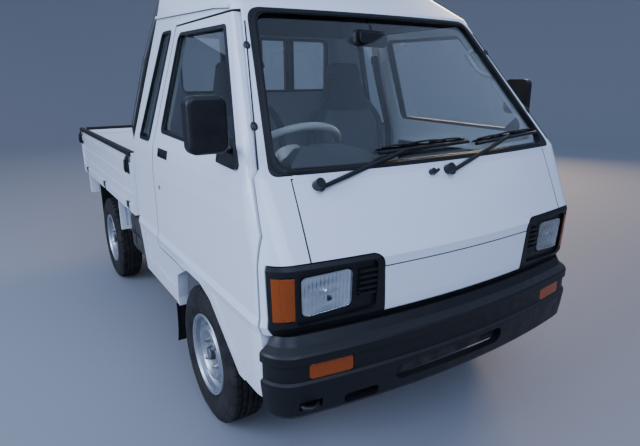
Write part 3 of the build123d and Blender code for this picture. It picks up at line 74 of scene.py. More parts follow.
def camera_turn(yaw, pitch, roll):
    """The rotation of a camera that looks along a yaw from +Y towards +X, tipped by a pitch and leaned by a roll."""
    ahead = Vector((math.sin(yaw) * math.cos(pitch), math.cos(yaw) * math.cos(pitch), math.sin(pitch)))
    level = Vector((math.cos(yaw), -math.sin(yaw), 0))
    above = level.cross(ahead)
    right = level * math.cos(roll) + above * math.sin(roll)
    up = above * math.cos(roll) - level * math.sin(roll)
    return Matrix((right, up, -ahead)).transposed().to_4x4()


def added(name, data):
    """An object of some data, placed in the scene."""
    thing = bpy.data.objects.new(name, data)
    bpy.context.scene.collection.objects.link(thing)
    return thing


camera_data = bpy.data.cameras.new("camera")
camera_data.lens = LENS_MM
camera_data.sensor_width = SENSOR_MM
camera_data.shift_y = LENS_SHIFT_Y
camera_data.clip_start = NEAREST
camera_data.clip_end = FARTHEST
camera = added("camera", camera_data)
camera.matrix_world = Matrix.Translation(CAMERA_PLACE) @ camera_turn(YAW, PITCH, ROLL)
bpy.context.scene.camera = camera
print("the camera stands", round(CAMERA_PLACE.z, 2), "m up")

# %% [markdown]
# ## Making materials
# A material is a small graph: patterns feed the colour, the roughness and the bump of one shader. Colours are written
# in sRGB hex, and one function turns them to the linear values that light adds up in. Patterns are sized by real
# millimetres: a noise with a feature every 4 mm has a scale of 1000 / 4 in a scene in metres. A wave pattern runs
# through 20 radians in one unit, so its ridges are 2 pi / 20 of a unit apart.

# %% Helpers for materials
WAVE_TURN = math.tau / 20


def linear(colour):
    """Linear red, green, blue and alpha of an sRGB colour written as RRGGBB."""
    channels = [int(colour[i:i + 2], 16) / 255 for i in (0, 2, 4)]
    return tuple(c / 12.92 if c <= 0.04045 else ((c + 0.055) / 1.055) ** 2.4 for c in channels) + (1.0,)


def link(material, source, target):
    """Links a node to a socket: its first output, or the one that a pair names."""
    origin, output = source if isinstance(source, tuple) else (source, 0)
    material.node_tree.links.new(target, origin.outputs[output])


def add_node(material, kind, links=None, **settings):
    """One node with its settings: input sockets by name, other settings as properties, and links to earlier nodes."""
    node = material.node_tree.nodes.new(kind)
    for name, value in settings.items():
        socket = node.inputs.get(name.replace("_", " "))
        if socket is not None:
            socket.default_value = value
        else:
            setattr(node, name, value)
    for name, source in (links or {}).items():
        link(material, source, node.inputs[name])
    return node


def shader_inputs(material):
    """The sockets of a material's one shader."""
    return material.node_tree.nodes["Principled BSDF"].inputs


def new_material(name, **surface):
    """A material with one shader, set by that shader's own socket names."""
    material = bpy.data.materials.new(name)
    material.use_nodes = True
    for socket, value in surface.items():
        shader_inputs(material)[socket.replace("_", " ")].default_value = value
    return material


def pattern(material, kind, millimetres, **settings):
    """A Noise, Wave or Voronoi pattern that lies on the object, with features every so many millimetres."""
    where = material.node_tree.nodes.get("Texture Coordinate") or add_node(material, "ShaderNodeTexCoord")
    scale = 1000.0 / millimetres * (WAVE_TURN if kind == "Wave" else 1)
    return add_node(material, "ShaderNodeTex" + kind, {"Vector": (where, "Object")}, Scale=scale, **settings)


def blend_colours(material, factor, first, second):
    """A mix of two colours by a factor; each is written in hex or comes from an earlier mix."""
    mix = add_node(material, "ShaderNodeMix", {0: factor}, data_type="RGBA")
    for socket, colour in ((mix.inputs[6], first), (mix.inputs[7], second)):
        if isinstance(colour, str):
            socket.default_value = linear(colour)
        else:
            link(material, colour, socket)
    return mix, 2


def ramp(material, source, low, high, to_low=0.0, to_high=1.0):
    """Stretches a value from low and high to other limits, clamped."""
    return add_node(material, "ShaderNodeMapRange", {"Value": source},
                    From_Min=low, From_Max=high, To_Min=to_low, To_Max=to_high)


def tint(material, factor, first, second):
    """Colours the surface with a mix of two colours."""
    link(material, blend_colours(material, factor, first, second), shader_inputs(material)["Base Color"])


def roughen(material, source, low, high, smooth, rough):
    """Lets a pattern set the roughness, between a smooth and a rough value."""
    link(material, ramp(material, source, low, high, smooth, rough), shader_inputs(material)["Roughness"])


def bump(material, height, millimetres):
    """Raises the surface by a height pattern, by so many millimetres from its black to its white."""
    relief = add_node(material, "ShaderNodeBump", {"Height": height}, Distance=millimetres / 1000, Strength=1.0)
    link(material, relief, shader_inputs(material)["Normal"])


print("a light grey D8DADC is", [round(c, 3) for c in linear("D8DADC")[:3]], "in linear values")

# %% [markdown]
# ## White paint
# The body is pressed steel, sprayed with white enamel and baked: thick and glossy with a faint orange peel. A clear
# coat socket gives the hard gloss over a softer base, and road dust gathers low on the panels. Every gap between two
# panels and every recess gets painted shade, a dark line or patch; an ambient occlusion node finds those nooks, because
# it measures how closed in a point is within 14 mm.

# %% White enamel
PAINTED_SHADE_REACH_METRES = 0.014
DUST_FOOT = 0.30


def enamel(name, colour, dust_colour, dust_top):
    """Glossy baked paint on pressed steel, with dust that thins out upwards to a height in metres."""
    material = new_material(name, Roughness=0.32, IOR=1.5, Coat_Weight=0.7, Coat_Roughness=0.04)
    patches = pattern(material, "Noise", 90, Detail=5.0)
    where = material.node_tree.nodes["Texture Coordinate"]
    height = add_node(material, "ShaderNodeSeparateXYZ", {"Vector": (where, "Object")})
    low_down = ramp(material, (height, "Z"), DUST_FOOT, dust_top, 1.0, 0.0)
    dusty = add_node(material, "ShaderNodeMath", {0: low_down, 1: patches}, operation="MULTIPLY")
    dusted = blend_colours(material, ramp(material, dusty, 0.25, 1.3), colour, dust_colour)
    # Painted shade: an ambient occlusion node darkens the paint towards 1E1F21 wherever it is closed in within 14 mm.
    painted_shade = add_node(material, "ShaderNodeAmbientOcclusion", Distance=PAINTED_SHADE_REACH_METRES, samples=6)
    tint(material, ramp(material, (painted_shade, "AO"), 0.25, 0.62, 1.0, 0.0), dusted, "1E1F21")
    roughen(material, dusty, 0.1, 0.7, 0.30, 0.62)
    bump(material, pattern(material, "Noise", 5, Detail=1.0), 0.03)
    return material


white_paint = enamel("white_baked_enamel", "EEF1F5", "A79C8C", 0.62)
print("made", white_paint.name)

# %% [markdown]
# ## Black paint and undercoat
# The frame and axles are dipped in black chassis paint, which goes grey with dust and road spray. The bars behind the
# cab have the same paint, sprayed smooth. Noise of two sizes makes the blotches and the grit.

# %% Chassis paint and black enamel


def coated_steel(name, colour, dirt_colour, dirt, roughness):
    """Painted steel under a film of road dirt, with fine grit."""
    material = new_material(name, IOR=1.5)
    blotches = pattern(material, "Noise", 60, Detail=6.0, Roughness=0.6)
    tint(material, ramp(material, blotches, 0.35, 0.75, 0.0, dirt), colour, dirt_colour)
    roughen(material, blotches, 0.3, 0.7, roughness, roughness + 0.2)
    bump(material, pattern(material, "Noise", 2, Detail=3.0), 0.15)
    return material


chassis_paint = coated_steel("black_chassis_paint", "1D1D1E", "6E675E", 0.6, 0.5)
black_enamel = coated_steel("black_sprayed_enamel", "0B0B0C", "222120", 0.3, 0.3)
print("made", chassis_paint.name, "and", black_enamel.name)

# %% [markdown]
# ## Moulded plastic
# Bumper, lamp surrounds and mirrors are black polypropylene, moulded in a tool with a fine leather-like grain, and
# paler on their upper faces, partly from sun fading and partly as painted sky light. The dashboard and door cards are
# ABS in grey, with a coarser grain. The grain is a Voronoi pattern: its cells are like the pebbles of the tool's
# etching, drawn at 1.5 mm so that they still show.

# %% Grained plastics


def moulded(name, colour, sun_faded_and_sky_lit, grain_mm, roughness):
    """Moulded plastic with a pebble grain, paler on its upper faces: partly sun fading, partly painted sky light."""
    material = new_material(name, IOR=1.49)
    facing = add_node(material, "ShaderNodeNewGeometry")
    upward = add_node(material, "ShaderNodeSeparateXYZ", {"Vector": (facing, "Normal")})
    # Upward faces are paler: partly sun fading, partly a painted highlight of the sky.
    tint(material, ramp(material, (upward, "Z"), 0.3, 1.0, 0.05, 0.9), colour, sun_faded_and_sky_lit)
    worn = pattern(material, "Noise", 35, Detail=4.0)
    roughen(material, worn, 0.3, 0.7, roughness - 0.07, roughness + 0.1)
    bump(material, pattern(material, "Voronoi", grain_mm), 0.10)
    return material


black_plastic = moulded("black_grained_polypropylene", "070707", "1B1A1A", 1.5, 0.46)
grey_plastic = moulded("grey_grained_abs", "5F6166", "7C7D80", 2.0, 0.55)
wheel_plastic = moulded("light_grey_smooth_urethane", "A9A8A2", "B7B6B0", 2.5, 0.42)
hood_plastic = moulded("dark_grey_grained_abs", "2E3033", "4A4B4E", 2.0, 0.55)
print("made 4 moulded plastics")

# %% [markdown]
# ## Vinyl and fabric of the seats
# The seats of a working truck are covered in grey vinyl pressed with a woven look. Vinyl is softer than hard plastic to
# the eye: a broad, dull gloss and a fine crossing texture, here two waves of threads about 5 mm apart.

# %% Seat vinyl
THREAD_MM = 4.932


def seat_cover(name, colour, shade):
    """Vinyl pressed with a weave: two crossing sets of ridges, with painted shade darkening the colour between them."""
    material = new_material(name, IOR=1.5, Sheen_Weight=0.25, Sheen_Roughness=0.5, Roughness=0.62)
    ridges = [pattern(material, "Wave", THREAD_MM, bands_direction=axis, Distortion=0.4) for axis in ("X", "Z")]
    weave = add_node(material, "ShaderNodeMath", {0: ridges[0], 1: ridges[1]}, operation="MULTIPLY")
    mottle = pattern(material, "Noise", 40, Detail=4.0)
    # Painted shade: the colour turns darker between the ridges of the weave; the mottle below is random tone.
    shaded = blend_colours(material, ramp(material, weave, 0.0, 0.6), shade, colour)
    tint(material, ramp(material, mottle, 0.3, 0.9, 0.0, 0.4), shaded, shade)
    bump(material, weave, 0.2)
    return material


seat_vinyl = seat_cover("grey_woven_vinyl", "4A4C51", "303236")
print("made", seat_vinyl.name)

# %% [markdown]
# ## Rubber
# Window seals are extruded rubber, smooth and nearly black, and dull with age. Tyre rubber is browner, and road dust
# stays in it.

# %% Seal rubber and tyre rubber


def rubber(name, colour, dust_colour, dust, roughness):
    """Vulcanised rubber with dust in its pores."""
    material = new_material(name, IOR=1.52, Specular_IOR_Level=0.35)
    clouds = pattern(material, "Noise", 50, Detail=5.0)
    tint(material, ramp(material, clouds, 0.35, 0.75, 0.05, dust), colour, dust_colour)
    pores = pattern(material, "Noise", 3, Detail=4.0)
    roughen(material, pores, 0.3, 0.7, roughness, roughness + 0.15)
    bump(material, pores, 0.12)
    return material


seal_rubber = rubber("black_extruded_rubber", "0A0A0B", "24231F", 0.2, 0.5)
tyre_rubber = rubber("tyre_rubber", "111111", "4A443C", 0.4, 0.72)
print("made 2 rubbers")

# %% [markdown]
# ## Metals
# Wheels are silver-painted steel: a metallic paint, so the flakes give it a metal's reflection under a soft gloss. Bare
# steel is brushed by use, cast parts are rough from the sand mould, and small rods and bolts are zinc plated.

# %% Painted and bare metal


def metal(name, colour, dirt_colour, dirt, roughness, grain_mm, relief_mm):
    """Metal under a thin film of dirt: where the dirt lies it is darker and rougher."""
    material = new_material(name, Metallic=1.0)
    stains = pattern(material, "Noise", 45, Detail=6.0)
    tint(material, ramp(material, stains, 0.4, 0.8, 0.0, dirt), colour, dirt_colour)
    roughen(material, stains, 0.3, 0.8, roughness, roughness + 0.25)
    bump(material, pattern(material, "Noise", grain_mm, Detail=3.0), relief_mm)
    return material


wheel_silver = metal("silver_wheel_lacquer", "C4C7CB", "6F6A63", 0.5, 0.34, 3, 0.03)
cast_iron = metal("sand_cast_iron", "6B6A68", "3E3A35", 0.8, 0.6, 4, 0.5)
bare_steel = metal("worn_bare_steel", "A2A3A5", "5C554D", 0.5, 0.38, 1.5, 0.05)
zinc_plate = metal("zinc_plated_steel", "B9BBBC", "85827A", 0.3, 0.36, 2, 0.03)
print("made 4 metals")

# %% [markdown]
# ## Glass and lenses
# Window glass is clear float glass with a slight green, under a thin film of dust that changes its gloss a little. Lamp
# lenses are pressed glass with upright flutes, and the turn lamps are amber acrylic with a fine pattern of prisms.

# %% Glass
PRESSED_FLUTE_MM = 17.76
PRISM_MM = 5.919


def clear(name, colour, roughness, weight=1.0, ior=1.5):
    """A see-through material."""
    return new_material(name, Base_Color=linear(colour), Transmission_Weight=weight, IOR=ior, Roughness=roughness)


def fluted(name, colour, flute_mm, relief_mm, weight, roughness, direction="X"):
    """A pressed lens with flutes side by side."""
    material = clear(name, colour, roughness, weight)
    roughen(material, pattern(material, "Noise", 30), 0.3, 0.8, roughness, roughness + 0.06)
    bump(material, pattern(material, "Wave", flute_mm, bands_direction=direction), relief_mm)
    return material


window_glass = clear("clear_float_glass", "F4FAF8", 0.0, ior=1.45)
roughen(window_glass, pattern(window_glass, "Noise", 120, Detail=3.0), 0.4, 0.9, 0.0, 0.03)
lamp_glass = fluted("fluted_pressed_glass", "F4F8FA", PRESSED_FLUTE_MM, 0.16, 1.0, 0.04)
amber_lens = fluted("amber_acrylic", "B4500A", PRISM_MM, 0.25, 0.35, 0.16, "Z")
red_lens = fluted("red_acrylic", "B0141A", PRISM_MM, 0.25, 0.35, 0.14, "Z")
print("made 4 lens and glass materials")

# %% [markdown]
# ## Dressing the frame
# Each solid names the finish it is made with, in the record's list of material slots. One table says which material
# stands for which slot, so that every solid gets its finish in a single loop and none is forgotten.

# %% Give every solid its finish
FINISHES = {
    "white_paint": white_paint, "black_chassis_paint": chassis_paint, "black_paint": black_enamel,
    "black_plastic": black_plastic, "grey_plastic": grey_plastic, "grey_vinyl": seat_vinyl,
    "black_rubber": seal_rubber, "tyre_rubber": tyre_rubber, "silver_wheel_paint": wheel_silver,
    "cast_metal": cast_iron, "bare_steel": bare_steel, "window_glass": window_glass, "lamp_glass": lamp_glass,
    "amber_lens": amber_lens, "red_lens": red_lens,
}
SPECIAL = {"steering_wheel": wheel_plastic, "dashboard": hood_plastic}
slot_of = {part["node"]: part["material_slot"] for part in frame["record"]["subparts"]}
for name, thing in nodes.items():
    thing.data.materials.clear()
    thing.data.materials.append(SPECIAL.get(name) or FINISHES[slot_of[name]])
print("dressed", len(nodes), "solids")

# %% [markdown]
# ## Building small pieces
# Small parts are pressed, turned, bent from bar or moulded, and the helpers follow those ways: a flat outline carried
# along, a profile turned about an axis, a bar bent along a path and a skin laid over a solid. They work in millimetres,
# as a workshop drawing does. The last helper scales a mesh to metres, shades it smooth up to its sharp edges, rounds
# those edges with a bevel and hangs the piece on the body that carries it.

# %% Helpers for meshes
from mathutils.bvhtree import BVHTree

MM = 0.001
CORNER_STEPS = 5
SIDES = {"left": 1, "right": -1}
ACROSS, AFT, UP = Vector((1, 0, 0)), Vector((0, 1, 0)), Vector((0, 0, 1))
solid_trees = {}


def seated(origin, outward=UP, up=UP):
    """A place whose Z points outwards and whose Y is as near to up as it can be."""
    z = Vector(outward).normalized()
    x = Vector(up).cross(z).normalized()
    return Matrix.Translation(Vector(origin)) @ Matrix((x, z.cross(x), z)).transposed().to_4x4()


def shifted(where, x, y, z=0):
    """A place moved along its own directions."""
    return where @ Matrix.Translation((x, y, z))


def turned(where, degrees, axis="Z"):
    """A place turned about one of its own axes."""
    return where @ Matrix.Rotation(math.radians(degrees), 4, axis)


def polar(radius, degrees):
    """The two coordinates of a point at a distance from an axis and an angle round it."""
    return radius * math.cos(math.radians(degrees)), radius * math.sin(math.radians(degrees))


def spread(low, high, count):
    """Evenly spaced values from low to high."""
    return [low + (high - low) * i / (count - 1) for i in range(count)]


def band(mesh, first, second):
    """Faces between two rings of as many points."""
    for i in range(len(first)):
        j = (i + 1) % len(first)
        mesh.faces.new((first[i], first[j], second[j], second[i]))


def add_prism(mesh, outline, low, high, where=Matrix()):
    """A flat outline of x and y, carried along Z from low to high."""
    bottom, top = ([mesh.verts.new(where @ Vector((x, y, z))) for x, y in outline] for z in (low, high))
    mesh.faces.new(bottom[::-1])
    mesh.faces.new(top)
    band(mesh, bottom, top)


def rounded(width, height, radius):
    """A rectangle about the origin with round corners, as an outline."""
    points = []
    for turn, (sx, sy) in enumerate(((1, 1), (-1, 1), (-1, -1), (1, -1))):
        for step in range(CORNER_STEPS + 1):
            x, y = polar(radius, 90 * (turn + step / CORNER_STEPS))
            points.append((sx * (width / 2 - radius) + x, sy * (height / 2 - radius) + y))
    return points


def add_turned(mesh, profile, where=Matrix(), steps=24):
    """A profile of radius and height, turned about Z; a radius of nought is a point on the axis."""
    rings = []
    for radius, height in profile:
        turns = spread(0, 360, steps + 1)[:-1] if radius else [0]
        rings.append([mesh.verts.new(where @ Vector((*polar(radius, turn), height))) for turn in turns])
    for lower, upper in zip(rings, rings[1:]):
        for i in range(steps):
            corners = [ring[k % len(ring)] for ring, k in ((lower, i), (lower, i + 1), (upper, i + 1), (upper, i))]
            corners = list(dict.fromkeys(corners))
            if len(corners) > 2:
                mesh.faces.new(corners)


def add_bar(mesh, path, radius, where=Matrix(), sides=10):
    """A round bar with flat ends, bent along points."""
    path = [where @ Vector(point) for point in path]
    side = (path[1] - path[0]).orthogonal()
    rings = []
    for i, point in enumerate(path):
        along = (path[min(i + 1, len(path) - 1)] - path[max(i - 1, 0)]).normalized()
        side = (side - along * side.dot(along)).normalized()
        other = along.cross(side)
        rings.append([mesh.verts.new(point + side * x + other * y)
                      for x, y in (polar(radius, 360 * k / sides) for k in range(sides))])
    mesh.faces.new(rings[0][::-1])
    mesh.faces.new(rings[-1])
    for lower, upper in zip(rings, rings[1:]):
        band(mesh, lower, upper)


def add_skin(mesh, rows, thickness):
    """A closed sheet over rows of points, with its back a thickness away along each point's own direction."""
    front = [[mesh.verts.new(point) for point, _ in row] for row in rows]
    back = [[mesh.verts.new(point + inward * thickness) for point, inward in row] for row in rows]
    end, edge = len(rows) - 1, len(rows[0]) - 1
    for i in range(end):
        for j in range(edge):
            mesh.faces.new((front[i][j], front[i][j + 1], front[i + 1][j + 1], front[i + 1][j]))
            mesh.faces.new((back[i][j], back[i + 1][j], back[i + 1][j + 1], back[i][j + 1]))
    rim = ([(0, j) for j in range(edge)] + [(i, edge) for i in range(end)]
           + [(end, j) for j in range(edge, 0, -1)] + [(i, 0) for i in range(end, 0, -1)])
    for (i, j), (k, m) in zip(rim, rim[1:] + rim[:1]):
        mesh.faces.new((front[i][j], back[i][j], back[k][m], front[k][m]))


def made(add, *shape, **more):
    """A new mesh with a first shape in it."""
    mesh = bmesh.new()
    add(mesh, *shape, **more)
    return mesh


def box_of(node):
    """The two corners of a solid's box, in millimetres."""
    return [Vector(corner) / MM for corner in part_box(node)]


def surface(node, start, towards):
    """Where a ray meets a CAD solid, in millimetres, and the direction that faces the ray there."""
    if node not in solid_trees:
        mesh = bmesh.new()
        mesh.from_mesh(nodes[node].data)
        solid_trees[node] = BVHTree.FromBMesh(mesh)
        mesh.free()
    towards = Vector(towards).normalized()
    hit, normal, _, _ = solid_trees[node].ray_cast(Vector(start) * MM, towards)
    if hit is None:
        raise ValueError(f"no surface of {node} from {tuple(start)} towards {tuple(towards)}")
    return hit / MM, normal if normal.dot(towards) < 0 else -normal


def met(node, start, towards):
    """Where a ray meets a CAD solid, in millimetres."""
    return surface(node, start, towards)[0]


def nearest(lifts, start, towards):
    """The nearest point where a ray meets any of some solids, each raised by a lift of its own."""
    found = []
    for node, lift in lifts.items():
        try:
            found.append(met(node, start, towards) - towards * lift)
        except ValueError:
            continue
    return min(found, key=towards.dot)


def hang(name, mesh, slot, body="truck", bevel=0, crease=32, finish=None):
    """Makes an object of a mesh in millimetres, with its finish, its rounded edges and the body that carries it."""
    bmesh.ops.scale(mesh, vec=(MM, MM, MM), verts=mesh.verts)
    bmesh.ops.recalc_face_normals(mesh, faces=mesh.faces)
    for edge in mesh.edges:
        edge.smooth = len(edge.link_faces) == 2 and edge.calc_face_angle() < math.radians(crease)
    for face in mesh.faces:
        face.smooth = True
    data = bpy.data.meshes.new(name)
    mesh.to_mesh(data)
    mesh.free()
    data.materials.append(finish or FINISHES[slot])
    thing = added(name, data)
    if bevel:
        soften = thing.modifiers.new("soften", "BEVEL")
        soften.width = bevel * MM
        soften.segments = 2
        soften.limit_method = "ANGLE"
        soften.angle_limit = math.radians(crease)
    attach(thing, body)
    return thing


print("the front lid is at y", round(met("front_panels", (0, -2000, 900), AFT).y), "mm in the middle")

# %% [markdown]
# ## Tyres
# A light-truck tyre is moulded rubber: a tread of blocks between grooves, a shoulder cut by cross grooves, and a smooth
# side wall with a few thin rings. The section is turned in small steps, and a rule says how deep the rubber is cut at
# each step round the tyre and across it. Steps lie close together at each groove's edge, so that its walls are steep.

# %% Cut the tread
TYRE_OUTER = 270.5
CROWN = 0.0009
PITCHES = 40
# Shares of one pitch where the cut changes: the first two walls bound one cross groove, the next two the other
PITCH_STEPS = (0.0, 0.03, 0.21, 0.24, 0.5, 0.53, 0.71, 0.74)
EARLY, LATE = (0.03, 0.21), (0.53, 0.71)
# Half of the tread from the middle outwards, in millimetres: a wall lies between each close pair
TREAD_STEPS = (0.0, 8.2, 9.2, 14.6, 15.6, 30.0, 31.0, 36.4, 37.4, 46.0)
INNER_GROOVE, OUTER_GROOVE = (9.2, 14.6), (31.0, 36.4)
GROOVE_CUT, BLOCK_CUT, SHOULDER_CUT = 7.5, 5.5, 7.0
# The shoulder and the side wall below it: distance from the middle, radius, cut of the cross grooves
WALL_STEPS = ((53.0, 268.5, 7.0), (58.0, 264.0, 6.5), (62.5, 256.0, 4.0), (66.0, 246.0, 1.0), (68.0, 240.0, 0.0),
              (69.6, 239.0, 0.0), (69.9, 236.0, 0.0), (70.5, 232.0, 0.0), (72.0, 218.0, 0.0), (71.6, 204.0, 0.0),
              (69.5, 190.0, 0.0), (69.9, 187.0, 0.0), (68.4, 184.0, 0.0), (65.0, 174.0, 0.0), (62.0, 167.0, 0.0),
              (59.0, 163.0, 0.0))
INNER_WALL = ((56.0, 172.0), (64.0, 205.0), (60.0, 240.0), (40.0, 254.0))
WHEELS = {"front_left": 1, "front_right": -1, "rear_left": 1, "rear_right": -1}


def tread_cut(across, share):
    """How deep the tread is cut, at a distance across and a share of the pitch."""
    outward = abs(across)
    if any(low <= outward <= high for low, high in (INNER_GROOVE, OUTER_GROOVE)):
        return GROOVE_CUT
    late = LATE[0] <= share <= LATE[1]
    early = EARLY[0] <= share <= EARLY[1]
    if outward > OUTER_GROOVE[1]:
        return SHOULDER_CUT if (late if across > 0 else early) else 0.0
    if outward > INNER_GROOVE[1]:
        return BLOCK_CUT if (early if across > 0 else late) else 0.0
    return 0.0


def tyre_mesh(centre):
    """A treaded tyre about the X axis."""
    right_half = [(across, TYRE_OUTER - CROWN * across * across, None) for across in TREAD_STEPS] + list(WALL_STEPS)
    section = [(-across, radius, cut) for across, radius, cut in right_half[:0:-1]] + right_half
    inner = list(INNER_WALL) + [(-across, radius) for across, radius in INNER_WALL[::-1]]
    mesh = bmesh.new()
    rings = []
    for pitch in range(PITCHES):
        for share in PITCH_STEPS:
            ring = []
            for across, radius, cut in section:
                if cut is None:
                    cut = tread_cut(across, share)
                elif not tread_cut(math.copysign(TREAD_STEPS[-1], across), share):
                    cut = 0.0
                ring.append((across, radius - cut))
            angle = 360 * (pitch + share) / PITCHES
            rings.append([mesh.verts.new(centre + Vector((across, *polar(radius, angle))))
                          for across, radius in ring + inner])
    for ring, following in zip(rings, rings[1:] + rings[:1]):
        band(mesh, ring, following)
    return mesh


for wheel in WHEELS:
    low, high = box_of("tyre_" + wheel)
    tyre = hang("tyre_treaded_" + wheel, tyre_mesh((low + high) / 2), "tyre_rubber", "wheel_" + wheel, crease=24)
    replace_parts(tyre, "tyre_" + wheel)
print("cut 4 tyres with", PITCHES, "pitches each, centre at z", round((low.z + high.z) / 2))

# %% [markdown]
# ## Wheel fittings
# What a tyre fitter touches: the studs that stand out of the nuts, the pressed grease cap over the bearing, and the
# rubber valve with its cap. Each wheel's fittings turn with it.

# %% Studs, grease cap and valve
STUD_CIRCLE = 55
VALVE_CIRCLE = 137
for wheel, outboard in WHEELS.items():
    low, high = box_of("rim_" + wheel)
    face = Vector((high.x if outboard > 0 else low.x, (low.y + high.y) / 2, (low.z + high.z) / 2))
    axle = seated(face, (outboard, 0, 0))
    grease_cap = [(0, -8), (13, -8.5), (21, -11), (24.5, -15), (25, -30), (27.5, -31), (27.5, -36)]
    studs = made(add_turned, grease_cap, axle)
    for angle in (45, 135, 225, 315):
        stud = shifted(axle, *polar(STUD_CIRCLE, angle))
        add_turned(studs, [(0, -6), (4.4, -6.8), (5.2, -8), (5.2, -20)], stud, steps=12)
        add_turned(studs, [(12.5, -30), (12.5, -27), (9.6, -25.6), (9.2, -20)], stud, steps=18)
    hang("wheel_studs_" + wheel, studs, "bare_steel", "wheel_" + wheel)
    leaning = turned(shifted(turned(axle, 70), VALVE_CIRCLE, 0, -4), -22, "Y")
    stem = [(0, 0), (3.0, 0), (3.6, -1.5), (3.6, -9), (4.8, -10), (5.5, -22), (6.5, -27), (6.5, -30)]
    hang("tyre_valve_" + wheel, made(add_turned, stem, leaning, steps=14), "black_rubber", "wheel_" + wheel)
print("fitted 4 wheels")

# %% [markdown]
# ## Head lamps
# A rectangular lamp is a dish of aluminised glass with a bulb, behind a pressed lens. The lens is smooth outside and
# has upright flutes inside, which spread the beam; they are real ridges here, because that is what catches the sky. The
# lens takes its outer surface from the CAD solid that it replaces, point by point along rays.

# %% Lens, reflector and bulb
LAMP_CORNERS = [Vector(corner) for corner in ((433, 667), (582, 653), (587, 771), (433, 779))]
LAMP_ROUND = 15.0
LAMP_COLUMNS, LAMP_ROWS = 79, 25
FLUTE_MM = 12.0
DISH_DEPTH = 6.5
DISH_BACK = 5.5
BAND_RELIEF = 2.8
lamp_mirror = metal("aluminised_reflector", "F2F4F6", "C4C8CC", 0.2, 0.1, 14, 0.2)


def rounded_off(point, width, height, radius):
    """A point of a rectangle, measured from its middle, drawn in where the corner is round."""
    past = Vector((abs(point.x) - width / 2 + radius, abs(point.y) - height / 2 + radius))
    if min(past) <= 0 or past.length <= radius:
        return point
    past *= radius / past.length
    return Vector((math.copysign(width / 2 - radius + past.x, point.x),
                   math.copysign(height / 2 - radius + past.y, point.y)))


def lamp_point(side, across, rise):
    """A point of the lamp's front, from shares of its width and height, with its corners drawn in."""
    low = LAMP_CORNERS[0].lerp(LAMP_CORNERS[1], across)
    high = LAMP_CORNERS[3].lerp(LAMP_CORNERS[2], across)
    width, height = LAMP_CORNERS[1].x - LAMP_CORNERS[0].x, high.y - low.y
    square = Vector(((across - 0.5) * width, (rise - 0.5) * height))
    x, z = low.lerp(high, rise) + rounded_off(square, width, height, LAMP_ROUND) - square
    return met("head_lamps", (side * x, -1800, z), AFT)


for name, side in SIDES.items():
    fronts = [[lamp_point(side, across, rise) for across in spread(0, 1, LAMP_COLUMNS)]
              for rise in spread(0, 1, LAMP_ROWS)]
    rows = [[(point, AFT * (2.2 + 0.8 * math.cos(math.tau * point.x / FLUTE_MM))) for point in row] for row in fronts]
    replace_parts(hang("lamp_lens_" + name, made(add_skin, rows, 1.0), "lamp_glass"), "head_lamps")
    rows = []
    for rise, row in zip(spread(-1, 1, LAMP_ROWS), fronts):
        bowl = (1 - rise ** 2) * (DISH_DEPTH + BAND_RELIEF * math.sin(6 * rise))
        rows.append([(point + AFT * (DISH_BACK + bowl * (1 - across ** 2)), AFT)
                     for across, point in zip(spread(-1, 1, LAMP_COLUMNS), row)])
    hang("lamp_reflector_" + name, made(add_skin, rows, 1.0), "bare_steel", finish=lamp_mirror)
    middle = fronts[LAMP_ROWS // 2][LAMP_COLUMNS // 2]
    bulb = [(0, 7.5), (4, 7), (6.5, 5.5), (7.5, 3), (8, 1), (11, 0.6), (11, -1)]
    socket = seated(middle + AFT * (DISH_DEPTH + 6), -AFT)
    hang("lamp_bulb_" + name, made(add_turned, bulb, socket), "lamp_glass", finish=lamp_mirror)
print("built 2 head lamps with flutes", FLUTE_MM, "mm apart")

# %% [markdown]
# ## Turn lamps
# An amber lens is moulded acrylic, about 2 mm thick, with small prisms inside that break up the view of its bulb. The
# upper one wraps round the corner of the cab, so that it is seen from the side too. Its outer surface is found by rays
# that point at the corner from a fan of directions; where the solid's own lens lies deeper, the new one stands level
# with the plastic round it.

# %% Amber lenses
FAN_MIDDLE = (560.0, -1440.0)
FAN_REACH = 250
FAN_DEGREES = (-56.5, -22.0)
LENS_HEIGHTS = (649.0, 779.0)
LENS_LIFTS = {"lamp_bezels": 1.2, "turn_lamps": 3.2}
LOW_LENS_AT = (511, 495)
LOW_LENS_SIZE = (139, 49)


def corner_hit(side, degrees, z):
    """A point of the cab's corner at a height, on the ray that comes in at an angle, and its inward direction."""
    x, y = polar(1, degrees)
    out = Vector((side * x, y, 0))
    start = Vector((side * FAN_MIDDLE[0], FAN_MIDDLE[1], z)) + out * FAN_REACH
    return nearest(LENS_LIFTS, start, -out), -out


for name, side in SIDES.items():
    rows = [[corner_hit(side, degrees, z) for degrees in spread(*FAN_DEGREES, 25)] for z in spread(*LENS_HEIGHTS, 19)]
    corner_lens = hang("corner_lens_" + name, made(add_skin, rows, 2.2), "amber_lens", bevel=1.0)
    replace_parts(corner_lens, "turn_lamps")
    wide, high = LOW_LENS_SIZE
    rows = []
    for z in spread(-high / 2, high / 2, 9):
        spots = [rounded_off(Vector((x, z)), wide, high, 8) for x in spread(-wide / 2, wide / 2, 21)]
        starts = [(side * (LOW_LENS_AT[0] + spot.x), -1900, LOW_LENS_AT[1] + spot.y) for spot in spots]
        rows.append([(met("turn_lamps", start, AFT) - AFT * 0.6, AFT) for start in starts])
    low_lens = hang("bumper_lens_" + name, made(add_skin, rows, 12), "amber_lens", bevel=2.0)
    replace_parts(low_lens, "turn_lamps")
print("moulded 4 amber lenses")

# %% [markdown]
# ## Seats
# The seats are foam under a sewn cover: dark vinyl round the rim and the head rest, and a woven middle. Foam pushes the
# cover out between its seams, which is just what Blender's cloth does with air pressure in it. So each pad starts as a
# slightly thin closed shape, is remeshed into even small faces, swells for twenty frames, and is then frozen. The seams
# come last, as shallow channels, because the remesh would have closed them.

